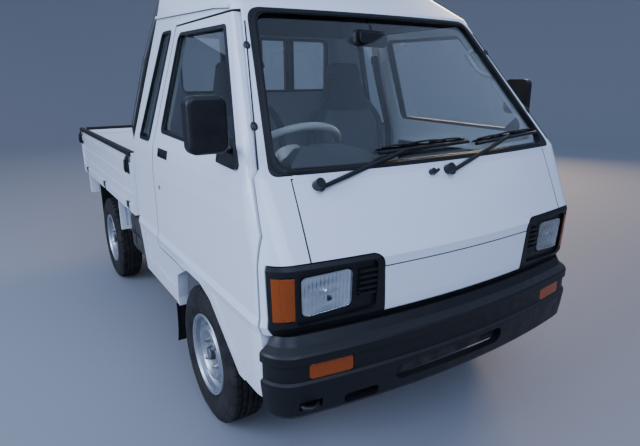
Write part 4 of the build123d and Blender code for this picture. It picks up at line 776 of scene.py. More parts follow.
# %% Pads of one seat
SEAT_X = 292.0
SEAT_BACK_Y = -462.5
BACK_HALF = [(218, 700), (226, 860), (228, 1000), (226, 1085), (204, 1135), (160, 1185), (120, 1224), (98, 1300),
             (78, 1372), (54, 1388)]
BACK_FOOT_Z, BACK_TALL, BACK_LEAN = 700, 690, 84
RIM_SEAM, HEAD_SEAM_Z, WAIST_SEAM_Z = 62, 1152, 925
CUSHION_Y, CUSHION_SEAM_X = -748, 158
SEAM_DEPTH = 5.0
SEAM_WIDTH = 7.0
VOXEL_MM = 8
AIR_PRESSURE = 4.0
SWELL_FRAMES = 20
NO_SEAM = 99
middle_cloth = seat_cover("grey_woven_seat_cloth", "686C75", "484B53")


def swollen(name, mesh, cap_mm):
    """A closed mesh in millimetres, remeshed and blown up by cloth pressure, with no point moved past a cap."""
    pad = hang(name, mesh, "grey_vinyl")
    remesh = pad.modifiers.new("even_faces", "REMESH")
    remesh.mode = "VOXEL"
    remesh.voxel_size = VOXEL_MM * MM
    pad.data = bpy.data.meshes.new_from_object(pad.evaluated_get(bpy.context.evaluated_depsgraph_get()))
    pad.modifiers.clear()
    cloth = pad.modifiers.new("air", "CLOTH")
    cloth.settings.use_pressure = True
    cloth.settings.uniform_pressure_force = AIR_PRESSURE
    cloth.settings.effector_weights.gravity = 0.0
    for moment in range(1, SWELL_FRAMES + 1):
        bpy.context.scene.frame_set(moment)
    blown = pad.evaluated_get(bpy.context.evaluated_depsgraph_get()).data
    steps = [new.co - old.co for new, old in zip(blown.vertices, pad.data.vertices)]
    pad.modifiers.clear()
    for vertex, step in zip(pad.data.vertices, steps):
        vertex.co += step * min(1.0, cap_mm * MM / max(step.length, 1e-9))
    bpy.context.scene.frame_set(1)
    return pad


def sew(pad, seams, is_middle):
    """Presses seams into a pad: each is a rule for how far a point is from it, in millimetres."""
    data = pad.data
    data.materials.append(middle_cloth)
    for vertex in data.vertices:
        for seam in seams:
            away = seam(vertex.co / MM)
            if away < 3 * SEAM_WIDTH:
                vertex.co -= vertex.normal * SEAM_DEPTH * MM * math.exp(-(away / SEAM_WIDTH) ** 2)
    for face in data.polygons:
        face.use_smooth = True
        if is_middle(face.center / MM, face.normal):
            face.material_index = 1
    finer = pad.modifiers.new("finer", "SUBSURF")
    finer.levels = finer.render_levels = 1
    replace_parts(pad, "seats")


def back_half_at(z):
    """Half the width of the back rest at a height."""
    for (near, low), (far, high) in zip(BACK_HALF, BACK_HALF[1:]):
        if low <= z <= high:
            return near + (far - near) * (z - low) / (high - low)
    return BACK_HALF[0][0] if z < BACK_HALF[0][1] else BACK_HALF[-1][0]


for name, side in SIDES.items():
    at_x = side * SEAT_X
    outline = [(at_x + x, z) for x, z in BACK_HALF] + [(at_x - x, z) for x, z in BACK_HALF[::-1]]
    back = made(add_prism, outline, -28, 44)
    for vertex in back.verts:
        x, z, through = vertex.co
        lean = BACK_LEAN * max(0.0, (z - BACK_FOOT_Z) / BACK_TALL) ** 0.8
        vertex.co = (x, SEAT_BACK_Y - 62 + lean + through, z)
    back = swollen("seat_back_" + name, back, 11)
    sew(back, [lambda p: abs(abs(p.x - at_x) - (back_half_at(p.z) - RIM_SEAM)) if p.z < 1150 else NO_SEAM,
               lambda p: abs(p.z - HEAD_SEAM_Z) if abs(p.x - at_x) < 170 else NO_SEAM,
               lambda p: abs(p.z - WAIST_SEAM_Z) if abs(p.x - at_x) < 160 else NO_SEAM],
        lambda p, n: n.y < -0.2 and abs(p.x - at_x) < back_half_at(p.z) - RIM_SEAM and 720 < p.z < HEAD_SEAM_Z)
    cushion = made(add_prism, [(at_x + x, CUSHION_Y + y) for x, y in rounded(440, 400, 42)], 700, 792)
    for vertex in cushion.verts:
        if vertex.co.z > 750:
            vertex.co.z -= 0.06 * (vertex.co.y - CUSHION_Y)
    cushion = swollen("seat_cushion_" + name, cushion, 12)
    sew(cushion, [lambda p: abs(abs(p.x - at_x) - CUSHION_SEAM_X), lambda p: abs(p.y + 890),
                  lambda p: abs(p.y + 745) if abs(p.x - at_x) < 150 else NO_SEAM],
        lambda p, n: n.z > 0.3 and abs(p.x - at_x) < CUSHION_SEAM_X and p.y > -890)
    base = made(add_prism, [(at_x + x, y - 745) for x, y in rounded(400, 380, 20)], 682, 704)
    for run in (-150, 150):
        add_prism(base, [(at_x + run + x, y - 745) for x, y in rounded(34, 430, 4)], 680.5, 690)
    hang("seat_base_" + name, base, "black_paint", bevel=2)
print("made 2 seats;", len(back.data.vertices), "points in one back rest")

# %% [markdown]
# ## Trim inside the cab
# The cab's steel is painted inside like outside, but its inner faces get a greyer copy of the white enamel as painted
# shade inside the cab, and under the roof hangs a soft lining, darkened as painted shade under the roof. The shells
# are single solids, so the second finish goes on the faces that look into the cab, whose normals point towards its
# middle.

# %% Roof lining and painted inner faces
CAB_MIDDLE = Vector((0.0, -0.80, 1.15))
# Painted shade: the lining is a real part, made dark for the shade under the roof.
roof_lining_with_shade = seat_cover("roof_lining_with_painted_shade", "414245", "323336")
# Painted shade: the inner faces get the white enamel greyed to B9BEC8, for the shade inside the cab.
shaded_inner_paint = enamel("inner_enamel_with_painted_shade", "B9BEC8", "8E8A84", 0.5)
for node, finish, low_z in (("cab_roof", roof_lining_with_shade, 1.0), ("cab_rear", shaded_inner_paint, 0.6), ("cab_front", shaded_inner_paint, 0.6)):
    data = nodes[node].data
    data.materials.append(finish)
    inside = [face for face in data.polygons
              if face.center.z > low_z and face.normal.dot((CAB_MIDDLE - face.center).normalized()) > 0.25]
    for face in inside:
        face.material_index = 1
    print(node, "has", len(inside), "faces lined")

# %% [markdown]
# ## Door cards
# Inside each door a card of grained vinyl on board covers the lower half, with an arm rest, a pull handle and a window
# winder. The card follows the door: its points are found by rays that go outwards from the middle of the cab.

# %% Door cards and winders
CARD_Y = (-1235.0, -480.0)
CARD_Z = (650.0, 975.0)
CARD_OFF = 10
card_vinyl = moulded("dark_grey_door_vinyl", "45484F", "55585E", 2.0, 0.5)
for name, side in SIDES.items():
    outward = ACROSS * side
    rows = []
    for z in spread(*CARD_Z, 13):
        front_edge = CARD_Y[0] + max(0.0, 720 - z) * 1.6
        starts = [(side * 380, max(y, front_edge), z) for y in spread(*CARD_Y, 25)]
        rows.append([(met("door_" + name, start, outward) - outward * CARD_OFF, outward) for start in starts])
    card = made(add_skin, rows, 8.5)
    hang("door_card_" + name, card, "grey_plastic", "door_" + name, bevel=2.5, finish=card_vinyl)
    rest = seated(met("door_" + name, (side * 380, -760, 862), outward) - outward * CARD_OFF, -outward)
    fittings = made(add_prism, rounded(300, 42, 18), 0, 44, rest)
    add_prism(fittings, rounded(92, 34, 12), 0, 9, shifted(rest, side * 250, 60))
    add_bar(fittings, [(side * 225, 60, 8), (side * 235, 60, 20), (side * 285, 60, 20)], 6, rest)
    add_turned(fittings, [(0, 34), (16, 33), (22, 26), (24, 0)], shifted(rest, side * 215, -38))
    add_bar(fittings, [(side * 215, -38, 30), (side * 190, -80, 38), (side * 178, -104, 40)], 6, rest)
    winder_knob = [(0, 66), (10, 64), (12, 56), (9, 44), (11, 38)]
    add_turned(fittings, winder_knob, shifted(rest, side * 178, -104), steps=16)
    hang("door_rest_" + name, fittings, "black_plastic", "door_" + name, bevel=1.6)
print("covered 2 doors")

# %% [markdown]
# ## Outside of the doors
# A flap handle sits in a moulded cup, with the lock below it. Small black clips hold the rain strip on the windshield
# pillar; its run down to the belt also lays a dark line as painted shade of the gap beside the door. A rubber strip
# seals the top of each door's opening.

# %% Handles, locks, clips and strips
HANDLE = (-568.0, 1014.0)
LOCK = (-510.0, 868.0)
CLIPS = ((611.0, 1173.0), (543.0, 1404.0))
STRIP_LEAN = 0.295
for name, side in SIDES.items():
    door = "door_" + name
    cup_edge = met(door, (side * 900, HANDLE[0] - 90, HANDLE[1]), (-side, 0, 0))
    grip = seated((cup_edge.x - side * 4, HANDLE[0], HANDLE[1] - 5), (side, 0, 0.05))
    lever = made(add_prism, rounded(114, 15, 5), -9, 1.5, grip)
    add_prism(lever, rounded(100, 5, 2), 1.0, 3.0, grip)
    hang("door_lever_" + name, lever, "black_plastic", door, bevel=1.2)
    barrel = seated(*surface(door, (side * 900, *LOCK), (-side, 0, 0)))
    lock = made(add_turned, [(0, 1.2), (3.2, 1.2), (3.6, 2.0), (8.4, 2.6), (9.6, 1.8), (10.2, -1)], barrel)
    add_prism(lock, rounded(1.4, 7, 0.6), 1.0, 2.3, barrel)
    hang("door_lock_" + name, lock, "bare_steel", door)
    clips = bmesh.new()
    for x, z in CLIPS:
        clip = seated(*surface("cab_front", (side * x, -2000, z), AFT), (0, 0.6, 0.8)) @ Matrix.Scale(1.5, 4, AFT)
        add_turned(clips, [(0, 8), (5, 7.4), (9, 4.2), (10.5, 0), (10.5, -2)], clip, steps=18)
    hang("pillar_clips_" + name, clips, "black_plastic")
    # Painted shade: the black strip runs down to the belt, a dark line over the shaded gap between door and front
    # panel.
    pillar = [(side * (CLIPS[0][0] - STRIP_LEAN * (z - CLIPS[0][1])), -2000, z) for z in range(1062, 1481, 38)]
    edge = [met("cab_front", start, AFT) for start in pillar]
    hang("rain_strip_and_gap_shade_" + name, made(add_bar, edge, 2.4), "black_rubber")
    rail = [met("cab_roof", (side * 524, y, 1300), UP) - UP * 4 for y in range(-960, -440, 40)]
    hang("door_weatherstrip_" + name, made(add_bar, rail, 4.5), "black_rubber")
print("strips over the doors at z", round(rail[0].z), "to", round(rail[-1].z))

# %% [markdown]
# ## Bed gates
# The drop sides are pressed steel. A rubber rail caps each top edge, so that a rope doesn't chafe, and a black toggle
# latch holds each end. The latch is a plate with a lever that folds down over a hook; the hinges are straps below.

# %% Rails, latches and hinge straps
CAP_SECTION = [(-1.5, -17), (-1.5, 3), (0.5, 5.5), (3, 6.5), (23, 6.5), (25.5, 5.5), (27.5, 3), (27.5, -13),
               (25.6, -13), (25.6, 0.5), (8.6, 0.5), (8.6, -17)]
GATE_TOP, LATCH_Z, STRAP_Z = 955.0, 893, 668


def add_latch(mesh, spot):
    """A toggle latch on an upright plate, its Z out of the gate and its Y up."""
    add_prism(mesh, rounded(44, 96, 6), 0, 3, spot)
    add_prism(mesh, rounded(26, 74, 9), 3, 9, shifted(spot, 0, -6))
    add_bar(mesh, [(0, 30, 6), (0, 22, 15), (0, -20, 17), (0, -38, 12)], 6.5, spot)
    add_bar(mesh, [(-17, 32, 7), (17, 32, 7)], 5, spot)
    for x, y in ((-15, 40), (15, 40), (-15, -40), (15, -40)):
        add_turned(mesh, [(0, 6.5), (3, 6.2), (4.6, 4.6), (4.8, 2.5)], shifted(spot, x, y), steps=12)


def dress_gate(name, body, out, along, face, span, latches, straps):
    """Caps a gate and gives it latches and hinge straps; face says how far out it stands."""
    top = Matrix.Translation(out * face + UP * GATE_TOP) @ Matrix((-out, UP, along)).transposed().to_4x4()
    hang("gate_rail_" + name, made(add_prism, CAP_SECTION, *span, top), "black_rubber", body, bevel=0.8)
    metalwork = bmesh.new()
    for place in latches:
        spot = met(body, out * (face + 200) + along * place + UP * LATCH_Z, -out)
        add_latch(metalwork, seated(spot, out))
    for place in straps:
        strap = seated(out * (face + 0.6) + along * place + UP * STRAP_Z, out)
        add_prism(metalwork, rounded(52, 34, 5), -1.5, 2.5, strap)
        for x in (-14, 14):
            add_turned(metalwork, [(0, 5.2), (3.4, 4.8), (5, 2.4)], shifted(strap, x, 4), steps=12)
    hang("gate_latches_" + name, metalwork, "black_paint", body, bevel=0.9)


for name, side in SIDES.items():
    dress_gate(name, "side_gate_" + name, ACROSS * side, AFT, 697.0, (-20.0, 1594.0), (26, 1548), (128, 787, 1446))
dress_gate("tail", "tail_gate", AFT, ACROSS, 1597.0, (-656, 656), (-620, 620), (-462, 462))
print("capped 3 gates")

# %% [markdown]
# ## Tail lamps
# A tail lamp of this kind is one moulded housing with three lenses side by side: red, amber and clear. Each lens is a
# shallow box of acrylic with rounded edges and level ribs.

# %% Three lenses and a housing on each side
LENSES = (("red", 0.0, 0.46, "red_lens"), ("amber", 0.46, 0.76, "amber_lens"), ("clear", 0.76, 1.0, "lamp_glass"))
LAMP_INNER = 500.0
RIM = 3
lamp_low, lamp_high = box_of("tail_lamps")
lamp_wide, lamp_tall = lamp_high.x - LAMP_INNER, lamp_high.z - lamp_low.z
for name, side in SIDES.items():
    on_tail = seated((0, lamp_low.y, (lamp_low.z + lamp_high.z) / 2), AFT)
    middle = shifted(on_tail, -side * (lamp_high.x + LAMP_INNER) / 2, 0)
    housing = hang("tail_housing_" + name, made(add_prism, rounded(lamp_wide, lamp_tall, 7), 0, 12, middle),
                   "black_plastic", bevel=1.2)
    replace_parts(housing, "tail_lamps")
    for colour, start, end, slot in LENSES:
        wide = (lamp_wide - 2 * RIM) * (end - start) - 1.5
        seat = shifted(on_tail, -side * (lamp_high.x - RIM - (lamp_wide - 2 * RIM) * (start + end) / 2), 0)
        lens = made(add_prism, rounded(wide, lamp_tall - 7, 4), 12, 27, seat)
        for rib in range(-3, 4):
            add_prism(lens, rounded(wide - 8, 4.5, 1.5), 26.5, 28, shifted(seat, 0, rib * 9.5))
        hang("tail_lens_" + colour + "_" + name, lens, slot, bevel=1.5)
print("2 tail lamps,", round(lamp_tall), "mm high")

# %% [markdown]
# ## Behind the windshield
# What one sees through the glass: a room mirror on its stalk, two sun visors, a grab handle on the passenger's pillar,
# belts on the rear pillars, the stalks beside the steering wheel, and the levers on the floor. Points on the lining,
# the pillars and the floor are found by rays from inside the cab.

# %% Mirror, visors and grab handle
MIRROR_AT = (-62, -1112, 1437)
GRAB_PATH = [(526, -1093, 1408), (503, -1068, 1408), (491, -1063, 1396), (509, -1115, 1328), (524, -1130, 1316),
             (545, -1167, 1308)]
glass_mirror = metal("silvered_mirror", "DDE2E6", "C4C8CC", 0.1, 0.04, 20, 0.0)
visor_vinyl = moulded("grey_heat_sealed_visor", "3D3E41", "4E5053", 2.5, 0.6)
mirror_face = seated(MIRROR_AT, (-0.25, 0.95, -0.12))
room_mirror = made(add_prism, rounded(182, 58, 17), -14, 0, mirror_face)
add_prism(room_mirror, rounded(150, 40, 12), -22, -13, mirror_face)
header = met("cab_roof", (0, -1000, 1300), UP)
stalk = [(-62, -1118, 1440), (-45, -1098, 1470), (-12, header.y - 12, header.z - 16), (0, header.y, header.z + 4)]
add_bar(room_mirror, stalk, 7)
add_turned(room_mirror, [(0, -12), (14, -11), (20, -4), (20, 4)], seated(header, UP, AFT))
hang("room_mirror", room_mirror, "black_plastic", bevel=2.5)
silver = made(add_prism, rounded(174, 50, 14), 0.2, 1.4, mirror_face)
hang("room_mirror_glass", silver, "bare_steel", finish=glass_mirror)
for name, side in SIDES.items():
    hinge_line, rear_edge = (met("cab_roof", (side * 300, y, 1300), UP) for y in (-1000, -882))
    lie = (hinge_line - rear_edge).normalized()
    facing = ACROSS.cross(lie)
    flap = seated(hinge_line.lerp(rear_edge, 0.5) + facing * 15, facing, lie)
    visor = made(add_prism, rounded(330, 118, 26), -8, 8, flap)
    add_bar(visor, [(-150, 52, 0), (150, 52, 0)], 9, flap)
    add_bar(visor, [(side * 150, 52, 0), (side * 170, 52, 0), (side * 176, 62, 8)], 4.5, flap)
    hang("sun_visor_" + name, visor, "grey_vinyl", bevel=4.5, finish=visor_vinyl)
grab = made(add_bar, GRAB_PATH, 9, sides=14)
for end in (GRAB_PATH[0], GRAB_PATH[-1]):
    add_turned(grab, [(0, -8), (11, -7), (14, -2), (14, 5)], seated(end, (0.6, -0.8, 0), AFT), steps=18)
hang("grab_handle", grab, "grey_plastic", bevel=1, finish=wheel_plastic)
print("the mirror hangs from z", round(header.z))

# %% Belts on the rear pillars
BELT_Y = -394
BELT_STEPS = 25
belt_web = seat_cover("black_belt_webbing", "2B2C2F", "1B1C1E")
for name, side in SIDES.items():
    outward = ACROSS * side
    rows = []
    for step, z in enumerate(spread(1400, 740, BELT_STEPS)):
        x = met("cab_rear", (side * 300, BELT_Y, z), outward).x - side * (12 + 2 * math.sin(step * 0.4))
        rows.append([(Vector((x, BELT_Y + across, z)), outward) for across in (-22, -8, 8, 22)])
    hang("belt_web_" + name, made(add_skin, rows, 1.6), "grey_vinyl", finish=belt_web)
    guide = bmesh.new()
    for z, wide, high, deep in ((1395, 34, 40, 20), (1360, 24, 52, 12), (735, 52, 110, 24)):
        on_pillar = seated(met("cab_rear", (side * 300, BELT_Y, z), outward), -outward)
        add_prism(guide, rounded(wide, high, 9), 0, deep, on_pillar)
    hang("belt_guide_" + name, guide, "black_plastic", bevel=3)
print("hung 2 belts")

# %% Steering stalks, gear lever, hand brake and pedals
HUB = Vector((-395, -1105, 1052))
COLUMN_LEAN = 36
column_axis = Vector((0, math.sin(math.radians(COLUMN_LEAN)), math.cos(math.radians(COLUMN_LEAN))))
barrel = [(0, -62), (30, -60), (40, -66), (46, -90), (44, -190), (38, -215), (0, -220)]
shroud = made(add_turned, barrel, seated(HUB, column_axis, AFT), steps=28)
for side in (-1, 1):
    root = HUB - column_axis * 92
    tip = root + Vector((side * 168, 0, 26)) + column_axis * 26
    add_bar(shroud, [root, root + Vector((side * 60, 0, 4)), root.lerp(tip, 0.75), tip], 5.5)
    knob = seated(tip, (side, 0, 0.15), AFT)
    add_turned(shroud, [(0, 26), (7, 24), (8.5, 16), (7.5, 0), (5.5, -4)], knob, steps=16)
hang("column_shroud", shroud, "grey_plastic", bevel=1.5, finish=hood_plastic)

gear_foot = met("cab_floor", (30, -1010, 900), -UP)
boot = [(0, 78), (8, 76), (14, 60), (26, 44), (24, 36), (40, 24), (38, 15), (58, 4), (60, -1)]
levers = made(add_turned, boot, seated(gear_foot, UP, AFT), steps=28)
add_bar(levers, [(0, 0, 60), (0, 8, 170), (-6, 30, 250)], 6, Matrix.Translation(gear_foot))
gear_knob = seated(gear_foot + Vector((-6, 30, 248)), (-0.03, 0.2, 1), AFT)
add_turned(levers, [(0, 46), (14, 42), (19, 30), (17, 14), (9, 0), (6, -4)], gear_knob)
brake = Matrix.Translation(met("cab_floor", (-8, -640, 900), -UP))
add_prism(levers, rounded(40, 190, 10), -1, 26, brake)
add_bar(levers, [(0, 70, 20), (0, 10, 62), (0, -110, 108)], 8, brake)
add_bar(levers, [(0, -70, 92), (0, -190, 138)], 13, brake, sides=16)
hang("floor_levers", levers, "black_plastic", bevel=1.2)

pedals = bmesh.new()
for x, wide in ((-500, 52), (-405, 60), (-320, 44)):
    toe = met("cab_floor", (x, -1200, 620), (0, -1, -0.2))
    pad = seated(toe + Vector((0, 95, 40)), (0, 0.75, 0.66), (0, -0.66, 0.75))
    add_prism(pedals, rounded(wide, 62, 7), 0, 8, pad)
    for rib in range(-2, 3):
        add_prism(pedals, rounded(wide - 8, 5, 2), 7.5, 10, shifted(pad, 0, rib * 11))
    add_bar(pedals, [(0, 0, 2), (0, 40, -30), (0, 180, -70)], 6, pad)
hang("pedals", pedals, "black_rubber", bevel=0.8)
print("floor at z", round(gear_foot.z))

# %% [markdown]
# ## Front mud flaps
# A flap of moulded rubber hangs from the front end of each sill, behind the front wheel, and keeps stones off the sill.
# A steel rod fixed in the sill carries it. Its foot curls back a little, and pressed ribs stiffen it. The end of the
# sill is found by a ray that goes back from the wheel.

# %% Rubber behind the front wheels
FLAP_TOP, FLAP_FOOT = 374.0, 185.0
FLAP_INNER_X, FLAP_OUTER_X = 560.0, 686.0
RIB_HEIGHT, RIB_COUNT = 2.0, 4
CURL = 22
for name, side in SIDES.items():
    flap_y = met("cab_rear", (side * 680, -880, FLAP_TOP + 26), AFT).y + 28
    rows = []
    for share in spread(0, 1, 19):
        ribs = RIB_HEIGHT if 0.1 < share < 0.9 else 0.0
        rows.append([(Vector((side * (FLAP_INNER_X + (FLAP_OUTER_X - FLAP_INNER_X) * across),
                              flap_y - ribs * max(0.0, math.cos(math.tau * across * RIB_COUNT)) + CURL * share ** 3,
                              FLAP_TOP - (FLAP_TOP - FLAP_FOOT) * share)), AFT) for across in spread(0, 1, 31)])
    hang("front_mud_flap_" + name, made(add_skin, rows, 3.5), "black_rubber")
    rod = [(side * x, flap_y + 5, FLAP_TOP - 4) for x in (FLAP_INNER_X - 6, 600, 640, 680)]
    hang("front_flap_rod_" + name, made(add_bar, rod, 5), "bare_steel", finish=zinc_plate)
    print("flap at y", round(flap_y))

# %% [markdown]
# ## Windshield rubber
# The windshield hangs in one ring of extruded rubber, whose outer lip lies on the pillars, the roof and the lid's top
# edge. Its section has two beads with a groove between them. The ring is a strip of cross sections: two rounded
# outlines are walked step by step, and each point between them is laid on the body by a ray from the front.

# %% Ring of the windshield
INNER_RING = (((-598, 1054), 46), ((598, 1054), 46), ((477, 1513), 46), ((-477, 1513), 46))
OUTER_RING = (((-623, 1041), 22), ((623, 1041), 22), ((498, 1529), 60), ((-498, 1529), 60))
BEADS = ((0, 0.4), (0.1, 2.6), (0.28, 3.3), (0.44, 1.5), (0.58, 2.8), (0.8, 3.1), (0.93, 2.0), (1, 0.2))
FACE_OUT = Vector((0, -0.77, 0.63))
FRONT_SHELLS = dict.fromkeys(("window_seals", "cab_front", "cab_roof", "cab_glass", "front_panels"), 0)
ARC_STEPS, EDGE_STEPS = 8, 24


def tangents(corners, k):
    """Where the round corner k of a closed outline starts and ends."""
    corner, radius = corners[k % 4]
    here = Vector(corner)
    before, after = ((Vector(corners[(k + step) % 4][0]) - here).normalized() for step in (-1, 1))
    reach = radius / math.tan(before.angle(after) / 2)
    return here + before * reach, here, here + after * reach


def ring_points(corners):
    """Points round a closed outline with round corners, as many for every outline."""
    points = []
    for k in range(4):
        start, here, end = tangents(corners, k)
        points += [start.lerp(here, share).lerp(here.lerp(end, share), share) for share in spread(0, 1, ARC_STEPS + 1)]
        stop = tangents(corners, k + 1)[0]
        points += [end.lerp(stop, share) for share in spread(0, 1, EDGE_STEPS + 1)[1:-1]]
    return points


def on_front(x, z, height):
    """A point at a height over the foremost part of the cab, and its inward direction."""
    return nearest(FRONT_SHELLS, (x, -2000, z), AFT) + FACE_OUT * height, -FACE_OUT


rows = []
inner_points, outer_points = ring_points(INNER_RING), ring_points(OUTER_RING)
for inner, outer in zip(inner_points + inner_points[:1], outer_points + outer_points[:1]):
    rows.append([on_front(*inner.lerp(outer, share), height) for share, height in BEADS])
hang("windshield_rubber", made(add_skin, rows, 3.0), "black_rubber", crease=60)
rows = [[on_front(x, z, 0.8) for x in spread(-556, 556, 41)] for z in (1023, 1027, 1042)]
hang("lid_hem", made(add_skin, rows, 0.8), "white_paint")
print("laid a ring of", len(inner_points), "sections")

# %% [markdown]
# ## Quarter panes
# The small window behind each door is a pane of toughened glass that covers its seal and stands level with the panel,
# so that it mirrors the sky from a low angle. Its outline is walked like the windshield's, on the plane of the panel.

# %% Glass level with the panel
QUARTER = (((-354, 1070), 18), ((-208, 1070), 18), ((-248, 1490), 18), ((-364, 1490), 18))
PANEL_X = 668
PANEL_LEAN = 0.2905
for name, side in SIDES.items():
    outline = [Vector((side * (PANEL_X - PANEL_LEAN * (z - 1070)), y, z)) for y, z in ring_points(QUARTER)]
    plane = seated(outline[0], (side, 0, PANEL_LEAN))
    pane = made(add_prism, [(plane.inverted() @ point).xy for point in outline], -3.5, 0, plane)
    hang("quarter_pane_" + name, pane, "window_glass", bevel=0.4)
print("covered 2 quarter windows")

# %% [markdown]
# ## Wipers
# The solids give the arm and the blade's backbone. A real blade is a rubber lip held by claws under a bridge, which
# spreads the arm's push; the lip and the bridge are what makes it look thin and sprung.

# %% Rubber lips, bridges and pivot caps
# Each blade as seen from the front: its two ends and the arm's pivot
BLADES = {"right": ((-261, 1084), (126, 1092), (-491, 1008)), "left": ((161, 1083), (556, 1096), (-11, 1012))}
CLAW_HEIGHT = 14
PIVOT_OUT = Vector((0, -1, 0.55)).normalized()


def off_glass(x, z, out):
    """A point at a distance in front of the windshield, and the direction out of the glass."""
    hit, normal = surface("cab_glass", (min(max(x, -590), 590), -2200, max(z, 1062)), AFT)
    return Vector((x, hit.y + (hit.z - z) * normal.z / normal.y, z)) + normal * out, normal


for name, (start, end, pivot) in BLADES.items():
    start, end = Vector(start), Vector(end)
    rows = []
    for share in spread(0, 1, 25):
        point, normal = off_glass(*start.lerp(end, share), 1.5)
        rows.append([(point + normal * rise, UP) for rise in (0, 4, 8, 12)])
    hang("wiper_rubber_" + name, made(add_skin, rows, 2.2), "black_rubber", bevel=0.4)
    cap = seated(met("wipers", (pivot[0], -2000, pivot[1]), AFT) - PIVOT_OUT, PIVOT_OUT, ACROSS)
    bridge = made(add_turned, [(0, 7), (6, 6.4), (9, 4), (9.6, -4)], cap, steps=18)
    for first, last, peak in ((0.06, 0.44, 21), (0.56, 0.94, 21), (0.25, 0.75, 27)):
        path = []
        for share, angle in zip(spread(first, last, 7), spread(0, math.pi, 7)):
            x, z = start.lerp(end, share)
            path.append(off_glass(x, z + 3, CLAW_HEIGHT + (peak - CLAW_HEIGHT) * math.sin(angle))[0])
        add_bar(bridge, path, 3.2, sides=8)
    hang("wiper_bridge_" + name, bridge, "black_paint")
print("2 wipers,", round((end - start).length), "mm of rubber each")

# %% [markdown]
# ## Dashboard and rear window
# Under the hood are two dials with their needles, and beside it a heater panel with levers and knobs. A latch locks the
# sliding rear windows together.

# %% Dials, heater levers and latch
DIAL_RADIUS = 40
dial_face = moulded("black_printed_dial", "0F1012", "191A1C", 3.0, 0.5)
needle_orange = moulded("orange_painted_needle", "D8571B", "E07A3C", 3.0, 0.4)
dials = bmesh.new()
marks = bmesh.new()
dial_y = met("dashboard", (-395, -900, 1055), -AFT).y
for x in (-455, -350):
    dial = seated((x, dial_y, 1042), (0, 1, 0.12))
    rim = [(DIAL_RADIUS + 3, -1), (DIAL_RADIUS + 3, 7), (DIAL_RADIUS, 8), (DIAL_RADIUS - 1, 2), (0, 2)]
    add_turned(dials, rim, dial, steps=40)
    for tick in range(13):
        long = 9 if tick % 2 == 0 else 5
        spot = shifted(turned(dial, -120 + 20 * tick), 0, DIAL_RADIUS - 4 - long / 2)
        add_prism(marks, rounded(1.6, long, 0.5), 2.2, 3.0, spot)
    needle = [(-2.2, -8), (2.2, -8), (0.7, DIAL_RADIUS - 9), (-0.7, DIAL_RADIUS - 9)]
    add_prism(marks, needle, 3.4, 4.4, turned(dial, 118))
hang("dials", dials, "black_plastic", finish=dial_face)
hang("dial_marks", marks, "amber_lens", finish=needle_orange)
board = seated((60, met("dashboard", (60, -900, 870), -AFT).y, 868), AFT)
panel = made(add_prism, rounded(196, 52, 6), -2, 5, board)
for rise in (-12, 0, 12):
    add_prism(panel, rounded(120, 3, 1.2), 4.5, 6.5, shifted(board, -20, rise))
hang("heater_panel", panel, "black_plastic", bevel=1.2)
knobs = bmesh.new()
for x, rise in ((-50, 12), (10, 0), (-20, -12)):
    add_prism(knobs, rounded(9, 13, 3), 5, 19, shifted(board, x, rise))
for rise in (12, -12):
    add_turned(knobs, [(0, 22), (8, 21), (9.5, 18), (11, 5)], shifted(board, 72, rise), steps=20)
hang("dash_knobs", knobs, "grey_plastic", bevel=0.8, finish=card_vinyl)
latch_at = seated((-15, -112, 1372), -AFT)
latch = made(add_prism, rounded(46, 34, 7), 0, 9, latch_at)
add_bar(latch, [(-8, 4, 8), (6, -2, 16), (22, -8, 17)], 5, latch_at)
hang("rear_window_latch", latch, "black_plastic", bevel=1.5)
print("2 dials at y", round(dial_y))

# %% [markdown]
# ## Bolts
# A truck is held together by flanged hexagon bolts, zinc plated or painted over. One bolt is a washer turned from a
# profile with a six-sided head on it. A table says where they go: the direction of the ray that finds the surface, and
# the points outside the solid from which it starts.

# %% Bolts where panels are fixed
BOLTS = {
    "headboard_bolts": ("bed_floor", [(x, 400, z) for x in (-638, 638) for z in (700, 800, 900)], -AFT, 8),
    "deck_bolts": ("bed_floor", [(x, y, 900) for x in (-330, 330) for y in (110, 560, 1010, 1460)], -UP, 8),
    "mud_flap_bolts": ("mud_flaps", [(side * x, 1500, 610) for side in (-1, 1) for x in (560, 600, 640)], -AFT, 6),
    "rail_bolts": ("chassis_frame", [(x, y, 0) for x in (-330, 330) for y in (-1380, -1180, -960)], UP, 10),
}
for name, (node, starts, towards, size) in BOLTS.items():
    bolts = bmesh.new()
    hexagon = [polar(size * 0.86, degrees) for degrees in range(0, 360, 60)]
    for start in starts:
        spot = seated(met(node, start, towards), -towards, (0.3, 0.5, 0.8))
        flange = [(size * 1.05, -0.5), (size * 1.05, size * 0.12), (size * 0.8, size * 0.22)]
        add_turned(bolts, flange, spot, steps=16)
        add_prism(bolts, hexagon, 0, size * 0.68, spot)
    if name == "rail_bolts":
        hang(name, bolts, "black_chassis_paint", bevel=0.4)
    else:
        hang(name, bolts, "bare_steel", bevel=0.4, finish=zinc_plate)
    print(name, len(starts))

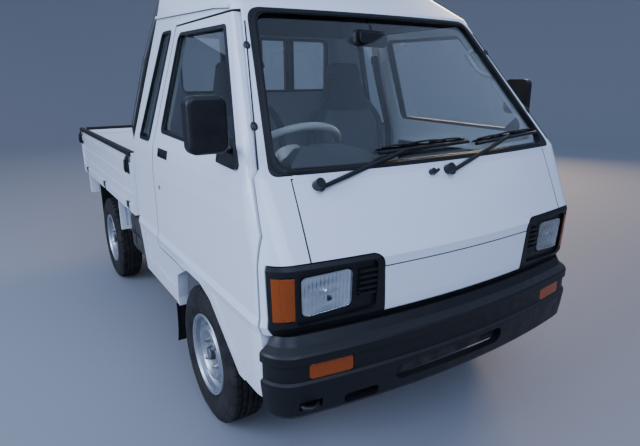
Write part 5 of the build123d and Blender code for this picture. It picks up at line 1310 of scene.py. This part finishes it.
# %% [markdown]
# ## Floor and light
# A studio floor is one pale sheet that turns up behind the object, so that no horizon shows. The sheet here bends up
# on all sides at a distance, and lies half a millimetre below the tyres. Soft light comes from three big panels and a
# pale sky; the sky does most of the work, as it did for the truck, which stood in the shade of a low sun.

# %% Floor
FLOOR_HALF, FLOOR_RISE = 9.0, 5.0
FLOOR_Z = -0.0005
mesh = bmesh.new()
rings = [(0.5, 0.0)]
for degrees in range(0, 91, 10):
    x, z = polar(FLOOR_RISE, degrees - 90)
    rings.append((FLOOR_HALF + x, FLOOR_RISE + z))
circles = [[mesh.verts.new((*polar(radius, degrees), height)) for degrees in range(0, 360, 6)]
           for radius, height in rings]
mesh.faces.new(circles[0])
for inner, outer in zip(circles, circles[1:]):
    band(mesh, outer, inner)
for face in mesh.faces:
    face.smooth = True
data = bpy.data.meshes.new("floor")
mesh.to_mesh(data)
mesh.free()
data.materials.append(new_material("pale_floor", Base_Color=linear("8A8C90"), Roughness=0.75, IOR=1.45))
floor = added("floor", data)
floor.location.z = FLOOR_Z
print("the floor is", round(floor.dimensions.x, 1), "m across")

# %% Lights
PANELS = {
    "sky_panel": ((-2.0, -6.0, 5.0), (0, -0.5, 0.8), 5.0, 330, "BCD1FF"),
    "side_panel": ((-6.0, -0.5, 3.5), (0, 0, 0.8), 4.0, 400, "C8DAFF"),
    "low_sun_panel": ((5.5, 3.0, 3.2), (0, 0, 1.0), 2.5, 260, "FFDDB4"),
}
for name, (place, target, size, watts, colour) in PANELS.items():
    data = bpy.data.lights.new(name, "AREA")
    data.shape = "SQUARE"
    data.size = size
    data.energy = watts
    data.color = linear(colour)[:3]
    lamp = added(name, data)
    lamp.location = place
    lamp.rotation_euler = (Vector(target) - Vector(place)).to_track_quat("-Z", "Y").to_euler()

world = bpy.data.worlds.new("studio")
world.use_nodes = True
background = world.node_tree.nodes["Background"]
background.inputs["Color"].default_value = linear("B7CDFA")
background.inputs["Strength"].default_value = 0.75
bpy.context.scene.world = world
print("lit by three panels and a pale sky")

# %% Bring the scene up to date
bpy.context.view_layer.update()
